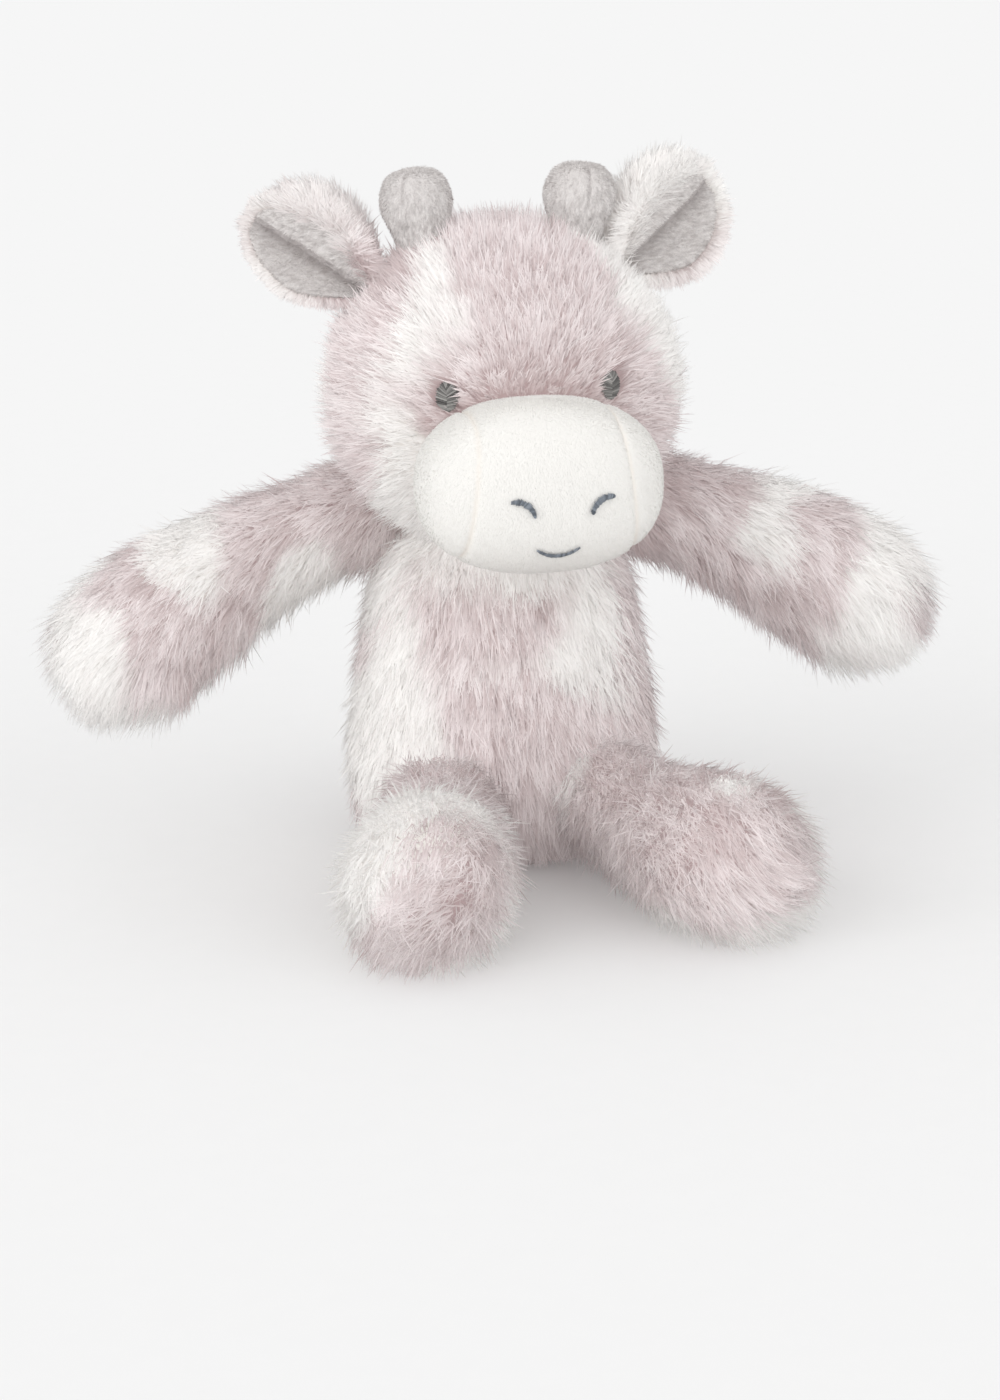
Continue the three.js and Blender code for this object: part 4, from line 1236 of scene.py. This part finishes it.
def body_rings():
    least = 0.4 * MM
    for h in np.concatenate([[0, 0.02, 0.06], np.linspace(0.1, 0.98, 26), [1.0]]):
        share = np.interp(h, BODY_PROFILE[:, 1], BODY_PROFILE[:, 0])
        wide, deep = np.maximum(share * BODY_HALF - FUR_SINK, least)
        z = 1.6 * MM + h * (BODY_HEIGHT - 2.5 * MM)
        yield np.array([0, 0, z]), np.array([wide, 0, 0]), np.array([0, deep, 0])


def body_skin():
    neck = [(mm(0, -4, z), mm(r, 0, 0), mm(0, r, 0)) for z, r in NECK_STUB]
    trunk, stub = tube_through(list(body_rings()), sides=40), tube_through(neck, sides=32)
    hold(trunk)
    stub.select_set(True)
    bpy.ops.object.join()
    stuff(trunk, voxel=4.5 * MM, cap=1.0 * MM, rounding=6)
    cut_along(trunk, ((0, BODY_SEAM, 0), (0, 1, 0)))
    return Cloth(trunk)


def make_body():
    cloth = body_skin()
    y = cloth.middles[:, 1]
    strewn = scattered_patches(40.0, 61)

    def dye_of(p):
        chest = smoothstep(p[:, 2], 92 * MM, 112 * MM) * smoothstep(-p[:, 1], 5 * MM, 25 * MM)
        return strewn(p) * (1 - 0.85 * chest)

    panels = {
        "body_front_fur": (y <= BODY_SEAM, ("body_front_panel", "body_stuffing")),
        "body_back_fur": (y > BODY_SEAM, ("body_back_panel",)),
    }
    for k, (name, (mask, nodes)) in enumerate(panels.items()):
        rng = np.random.default_rng(500 + k)
        faces = np.flatnonzero(mask)
        root, normal = cloth.scatter(faces, PER_MM2["body"], rng)
        keep = ~in_head(root, -3 * MM)
        for limb in (*ARMS.values(), *LEGS.values()):
            keep &= ~limb.holds(root, 2 * MM)
        root, normal = root[keep], normal[keep]
        outward = root * np.array([1.0, 1.0, 0]) / (60 * MM)
        length = varied(rng, root, "body")
        hair = long_hair(root, normal, combed(DOWN + 0.3 * outward, normal), length, rng, seed=63)
        dress_panel(coated(name, cloth, faces, hair, dye_of, FUR, rng), "torso", "fur", *nodes, fill=0.6)


# Arms, legs and tail
JOINT_BEFORE, JOINT_AFTER = 14 * MM, 20 * MM   # how far on both sides of a limb's joint; the points worked out from them are not used


def limb_pieces(limb, panels, seam, dye_of, seed, per_mm2):
    """Both panels of a limb that is sewn to the body at its joint."""
    cloth_sink = FUR_SINK + 1.0 * MM
    skin = stuff(tube_through(limb.rings(cloth_sink)), voxel=4.0 * MM, cap=1.0 * MM)
    joint, way_out = limb.size["root"], limb.way[0]
    cut_along(skin, (joint, seam))
    cloth = Cloth(skin)
    upper = (cloth.middles - joint) @ np.array(seam) > 0

    # Painted shade: dark pits in the fur, in random patches.
    def painted_shade(p):
        return 0.9 * np.clip(cloud(p, 9 * MM, seed + 4) - 0.2, 0, 1)

    for k, (name, nodes) in enumerate(panels.items()):
        rng = np.random.default_rng(seed + k)
        faces = np.flatnonzero(upper if k == 0 else ~upper)
        root, normal = cloth.scatter(faces, per_mm2, rng)
        s, way, _ = limb.nearest(root)
        keep = (s > 0.0) | ~(in_body(root, -5 * MM) | in_head(root, -5 * MM))
        root, normal, s, way = root[keep], normal[keep], s[keep], way[keep]
        nap = combed(way + 0.22 * DOWN + 0.6 * cloud3(root, 15 * MM, seed + 2), normal)
        length = uneven(rng, root, 13 * MM, seed, mean=12.5, spread=2.0, waves=1.5)
        paw = smoothstep(s, 0.7, 0.98)
        length = np.clip(length * (1 + 0.4 * paw), 4 * MM, 20 * MM)
        hair = long_hair(
            root, normal, nap, length, rng, seed,
            lean=(40 - 12 * paw, 68 - 18 * paw), tuft=5.6, pull=0.72, sag=0.12,
        )
        panel = coated(name, cloth, faces, hair, dye_of, FUR, rng, painted_shade=painted_shade)
        start, end = tuple(joint - way_out * JOINT_BEFORE), tuple(joint + way_out * JOINT_AFTER)
        for piece in panel:
            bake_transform(piece)
        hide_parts(*nodes)


def make_limbs():
    for k, (name, arm) in enumerate(ARMS.items()):
        dye_of = patches(ARM_MARKS[name], arm.on_coat, reach=9, wander=4.0, seed=81 + k)
        limb_pieces(arm, {
            f"{name}_arm_front_fur": (f"{name}_arm_front_panel", f"{name}_arm_stuffing"),
            f"{name}_arm_back_fur": (f"{name}_arm_back_panel",),
        }, tuple(arm.front), dye_of, seed=600 + 10 * k, per_mm2=PER_MM2["arm"])
        limb_pieces(LEGS[name], {
            f"{name}_leg_top_fur": (f"{name}_leg_top_panel", f"{name}_leg_stuffing"),
            f"{name}_leg_under_fur": (f"{name}_leg_under_panel",),
        }, (0, 0, 1), scattered_patches(38.0, 91 + k), seed=700 + 10 * k, per_mm2=PER_MM2["leg"])


def make_tail():
    tail = Limb(TAIL, (0, 1, 0), (0, 0, -1))
    rng = np.random.default_rng(800)
    fine = dict(voxel=2.0 * MM, cap=0.5 * MM, rounding=2)
    cord = Cloth(stuff(tube_through(tail.rings(sink=1.6 * MM), sides=20), **fine))
    root, normal = cord.scatter(cord.faces, PER_MM2["tail"], rng)
    nap = combed(tail.nearest(root)[1], normal)
    length = varied(rng, root, "tail")
    hair = long_hair(root, normal, nap, length, rng, seed=83, lean=(40, 68), tuft=3.5)
    panel = coated("tail_fur", cord, cord.faces, hair, scattered_patches(30.0, 95), FUR, rng)
    dress_panel(panel, "tail", "fur", "tail_cord", fill=0.5)

    way, end = tail.way[-1], tail.spine[-1]
    across = np.cross(tail.third, way)
    share = np.linspace(0, 1, 12)
    radii = TUFT_RADIUS * np.sin(np.clip(share * 0.92 + 0.08, 0, 1) * math.pi) ** 0.7 * 0.55 + 0.4 * MM
    inset = 6 * MM
    rings = [
        (end - way * inset + way * t * (TUFT_LENGTH - 2 * inset), across * r, tail.third * r)
        for t, r in zip(share, radii)
    ]
    core = Cloth(stuff(tube_through(rings, sides=20), **fine))
    root, normal = core.scatter(core.faces, PER_MM2["tail_tuft"], rng)
    length = varied(rng, root, "tail_tuft")
    hair = long_hair(root, normal, combed(way, normal), length, rng, seed=84, lean=(30, 74), tuft=3.5)
    panel = coated("tail_tuft_fur", core, core.faces, hair, lambda p: np.full(len(p), 0.95), FUR, rng)
    dress_panel(panel, "tail", "fur", "tail_tuft", fill=0.4)


# Stitches
NOSTRIL_AT = {"left": (17.1, -5.6), "right": (-14.6, -5.6)}   # mm from the muzzle's middle, as for the smile
NOSTRIL_SWEEP = {"left": (77, 171), "right": (103, 9)}
NOSTRIL_RADIUS = 6.2
SMILE_AT = (0.0, -7.6)
SMILE_SWEEP = (230, 310)
SMILE_RADIUS = 11.0
EYE_STITCHES = 17    # in each half of an eye
NECK_STITCHES = 44


def thread(path, radius, up, sides=6):
    """A thread along a path: rings of points, narrowed at both ends, with its faces."""
    way = unit(np.gradient(path, axis=0))
    side = unit(np.cross(way, up))
    lift = np.cross(side, way)
    angle = np.arange(sides)[None, :, None] * 2 * math.pi / sides
    share = np.linspace(0, 1, len(path))
    r = radius * np.clip(np.sin(share * math.pi) * 3, 0.35, 1)
    rings = path[:, None] + r[:, None, None] * (np.cos(angle) * side[:, None] + np.sin(angle) * lift[:, None])
    faces = []
    for k in range(len(path) - 1):
        for a in range(sides):
            b = (a + 1) % sides
            faces.append((k * sides + a, k * sides + b, (k + 1) * sides + b, (k + 1) * sides + a))
    faces.append(tuple(range(sides))[::-1])
    faces.append(tuple((len(path) - 1) * sides + a for a in range(sides)))
    return rings.reshape(-1, 3), faces


def stitched(name, threads, finish, rng):
    """One piece from many threads, each a little lighter or darker."""
    co, faces, shade = [], [], []
    for points, quads in threads:
        start = sum(len(c) for c in co)
        co.append(points)
        faces += [tuple(i + start for i in q) for q in quads]
        shade.append(np.full(len(points), rng.random(), np.float32))
    mesh = bpy.data.meshes.new(name)
    mesh.from_pydata(np.concatenate(co).tolist(), [], faces)
    mesh.attributes.new("shade", "FLOAT", "POINT").data.foreach_set("value", np.concatenate(shade))
    mesh.materials.append(finish)
    piece = edited(shown(name, mesh), turn_faces_out)
    bpy.ops.object.shade_smooth()
    return piece


def make_eye(name):
    """An oval of satin stitches in two halves, each stitch from the rim to the middle line."""
    rng = np.random.default_rng(900 + (name == "left"))
    middle, normal = EYES[name]
    across = unit(np.cross(np.array([0, 0, 1.0]), normal))
    upright = np.cross(normal, across)
    width, height = EYE_SIZE
    t = np.linspace(0, 1, 9)
    threads = []
    for half in (-1, 1):
        for k in range(EYE_STITCHES):
            rim = math.radians(-88 + 176 * (k + 0.5) / EYE_STITCHES)
            start = np.array([half * math.cos(rim) * width, math.sin(rim) * height]) / 2
            start *= 1 + 0.04 * rng.normal()
            meets = (0.62 * math.sin(rim) - 0.32) * height / 2 + 0.1 * MM * rng.normal()
            flat = start + np.outer(t, np.array([half * -0.07 * width, meets]) - start)
            out = ((flat / EYE_SIZE * 2) ** 2).sum(1)
            dome = 0.8 * MM + 1.6 * MM * np.sqrt(np.maximum(0, 1 - 0.9 * out)) - 0.5 * MM * t ** 6
            path = middle + flat @ np.stack([across, upright]) + np.outer(dome, normal)
            threads.append(thread(path, radius=0.4 * MM, up=normal))
    dress(stitched(f"{name}_eye_stitches", threads, EYE_THREAD, rng), "head", "thread", f"{name}_eye")


def satin_arc(centre, radius, sweep, count, widest, slant, rng):
    """Close stitches across an arc on the muzzle, wide in the middle and tapering to both ends."""
    angles = np.radians(np.linspace(*sweep, count))
    line = [mm(centre[0] + radius * math.cos(a), centre[1] + radius * math.sin(a)) for a in angles]
    found = [seen_from_front(MUZZLE_SURFACE, x, MUZZLE_CENTRE[2] + z) for x, z in line]
    spots, normals = (np.array(rows) for rows in zip(*found))
    way = unit(np.gradient(spots, axis=0))
    t = np.linspace(-1, 1, 6)
    threads = []
    for k, (spot, normal) in enumerate(zip(spots, normals)):
        share = k / (count - 1)
        width = widest * (0.42 + 0.58 * math.sin(share * math.pi) ** 0.5) * MM * (1 + 0.15 * rng.normal())
        side = unit(np.cross(normal, way[k]) * math.cos(slant) + way[k] * math.sin(slant))
        rise = 0.9 * MM + (1 - t ** 2) * 0.45 * MM
        path = spot + np.outer(t * width / 2, side) + np.outer(rise, normal)
        threads.append(thread(path, radius=0.27 * MM, up=normal, sides=5))
    return threads


def make_face():
    for name, side in SIDES.items():
        rng = np.random.default_rng(920 + side)
        threads = satin_arc(
            NOSTRIL_AT[name], NOSTRIL_RADIUS, NOSTRIL_SWEEP[name], count=24, widest=2.5, slant=0.25, rng=rng,
        )
        piece = stitched(f"{name}_nostril_stitches", threads, FACE_THREAD, rng)
        dress(piece, "head", "thread", f"{name}_nostril")
    rng = np.random.default_rng(930)
    threads = satin_arc(SMILE_AT, SMILE_RADIUS, SMILE_SWEEP, count=32, widest=1.6, slant=0.3, rng=rng)
    dress(stitched("smile_stitches", threads, FACE_THREAD, rng), "head", "thread", "smile")


def make_neck():
    """A ring of slanting stitches that sews the head to the body."""
    rng = np.random.default_rng(940)
    t = np.linspace(0, 1, 6)
    out = NECK_RADIUS + 0.8 * MM * np.sin(t * math.pi)
    threads = []
    for k in range(NECK_STITCHES):
        a, b = (2 * math.pi * (k + d) / NECK_STITCHES for d in (0.1, 0.9))
        turn = a + (b - a) * t
        path = NECK_AT + np.stack([out * np.cos(turn), out * np.sin(turn), (-1.6 + 3.2 * t) * MM], 1)
        threads.append(thread(path, radius=0.55 * MM, up=np.array([math.cos(a), math.sin(a), 0])))
    dress(stitched("neck_stitches", threads, SEAM_THREAD, rng), "neck", "seam_thread", "neck_stitching")


make_head()
make_muzzle()
for side_name in SIDES:
    make_horn(side_name)
    make_ear(side_name)
    make_eye(side_name)
make_face()
make_body()
make_limbs()
make_tail()
make_neck()


# Floor, light and camera
FLOOR_SIZE = 60.0
BACKGROUND = ink(244, 244, 244)
LAMPS = (   # name, place, spread in degrees, power
    ("key", (-1.6, -0.8, 0.5), 60.0, 1.22),
    ("fill", (1.0, -1.2, 0.12), 80.0, 0.92),
)
# The photo's own point of view, found by laying the CAD solids over it.
CAMERA_TURN, CAMERA_RISE, CAMERA_ROLL = math.radians(-12.3), math.radians(9.5), math.radians(1.0)
CAMERA_AWAY = 1.059
PHOTO_HEIGHT = 1400              # pixels
PHOTO_FOCAL = 2975.0             # the lens, in the photo's pixels
# How far the head's middle is right of the photo's middle and above it before the roll, in pixels.
PHOTO_OFF_MIDDLE = (8, 315)
SENSOR = 36.0


def floor_finish(bench):
    grain = bench.noise(scale=90.0, detail=3.0)
    return {"Base Color": (grain * 0.5).blend(ink(236, 236, 236), ink(239, 239, 239))}


def make_stage():
    floor = drawn(bpy.ops.mesh.primitive_plane_add, size=FLOOR_SIZE)
    floor.name = "floor"
    floor.data.materials.append(finish_of("pale_floor", floor_finish, Roughness=1.0, Specular_IOR_Level=0.0))


def make_light():
    """A white room and two wide lamps; the camera and reflections see a flat background."""
    scene = bpy.context.scene
    scene.view_settings.view_transform = "Standard"
    world = bpy.data.worlds.new("studio")
    world.use_nodes = True
    scene.world = world
    tree = world.node_tree
    bench = Wire(tree)
    ground = next(n for n in tree.nodes if n.type == "BACKGROUND")
    path = tree.nodes.new("ShaderNodeLightPath")
    rays = ("Camera", "Glossy", "Transmission")
    seen, *others = (Wire(tree, path.outputs[f"Is {ray} Ray"]) for ray in rays)
    for other in others:
        seen = bench.sum("MAXIMUM", seen, other)
    tree.links.new(seen.blend((1, 1, 1, 1), BACKGROUND).socket, ground.inputs["Color"])
    tree.links.new((seen * 0.08 + 0.92).socket, ground.inputs["Strength"])
    for name, at, spread, power in LAMPS:
        lamp = bpy.data.lights.new(name, "SUN")
        lamp.angle, lamp.energy = math.radians(spread), power
        holder = shown(name, lamp)
        holder.location = at
        holder.rotation_euler = (-Vector(at)).to_track_quat("-Z", "Y").to_euler()


def make_camera():
    def looking(turn, rise):
        return np.array([math.sin(turn) * math.cos(rise), -math.cos(turn) * math.cos(rise), math.sin(rise)])

    eye = HEAD_CENTRE + CAMERA_AWAY * looking(CAMERA_TURN, CAMERA_RISE)
    more_yaw, more_pitch = (math.atan(off / PHOTO_FOCAL) for off in PHOTO_OFF_MIDDLE)
    yaw, pitch = CAMERA_TURN + more_yaw, CAMERA_RISE + more_pitch
    back = looking(yaw, pitch)
    right = np.array([math.cos(yaw), math.sin(yaw), 0])
    up = np.cross(back, right)
    c, s = math.cos(CAMERA_ROLL), math.sin(CAMERA_ROLL)
    right, up = right * c - up * s, right * s + up * c
    lens = bpy.data.cameras.new("camera")
    lens.sensor_fit = "AUTO"
    lens.sensor_width = SENSOR
    lens.lens = PHOTO_FOCAL / PHOTO_HEIGHT * SENSOR
    lens.clip_start, lens.clip_end = 0.05, 100.0
    camera = shown("camera", lens)
    camera.matrix_world = Matrix([*np.stack([right, up, back, eye], 1).tolist(), [0, 0, 0, 1]])
    bpy.context.scene.camera = camera


make_stage()
make_light()
make_camera()
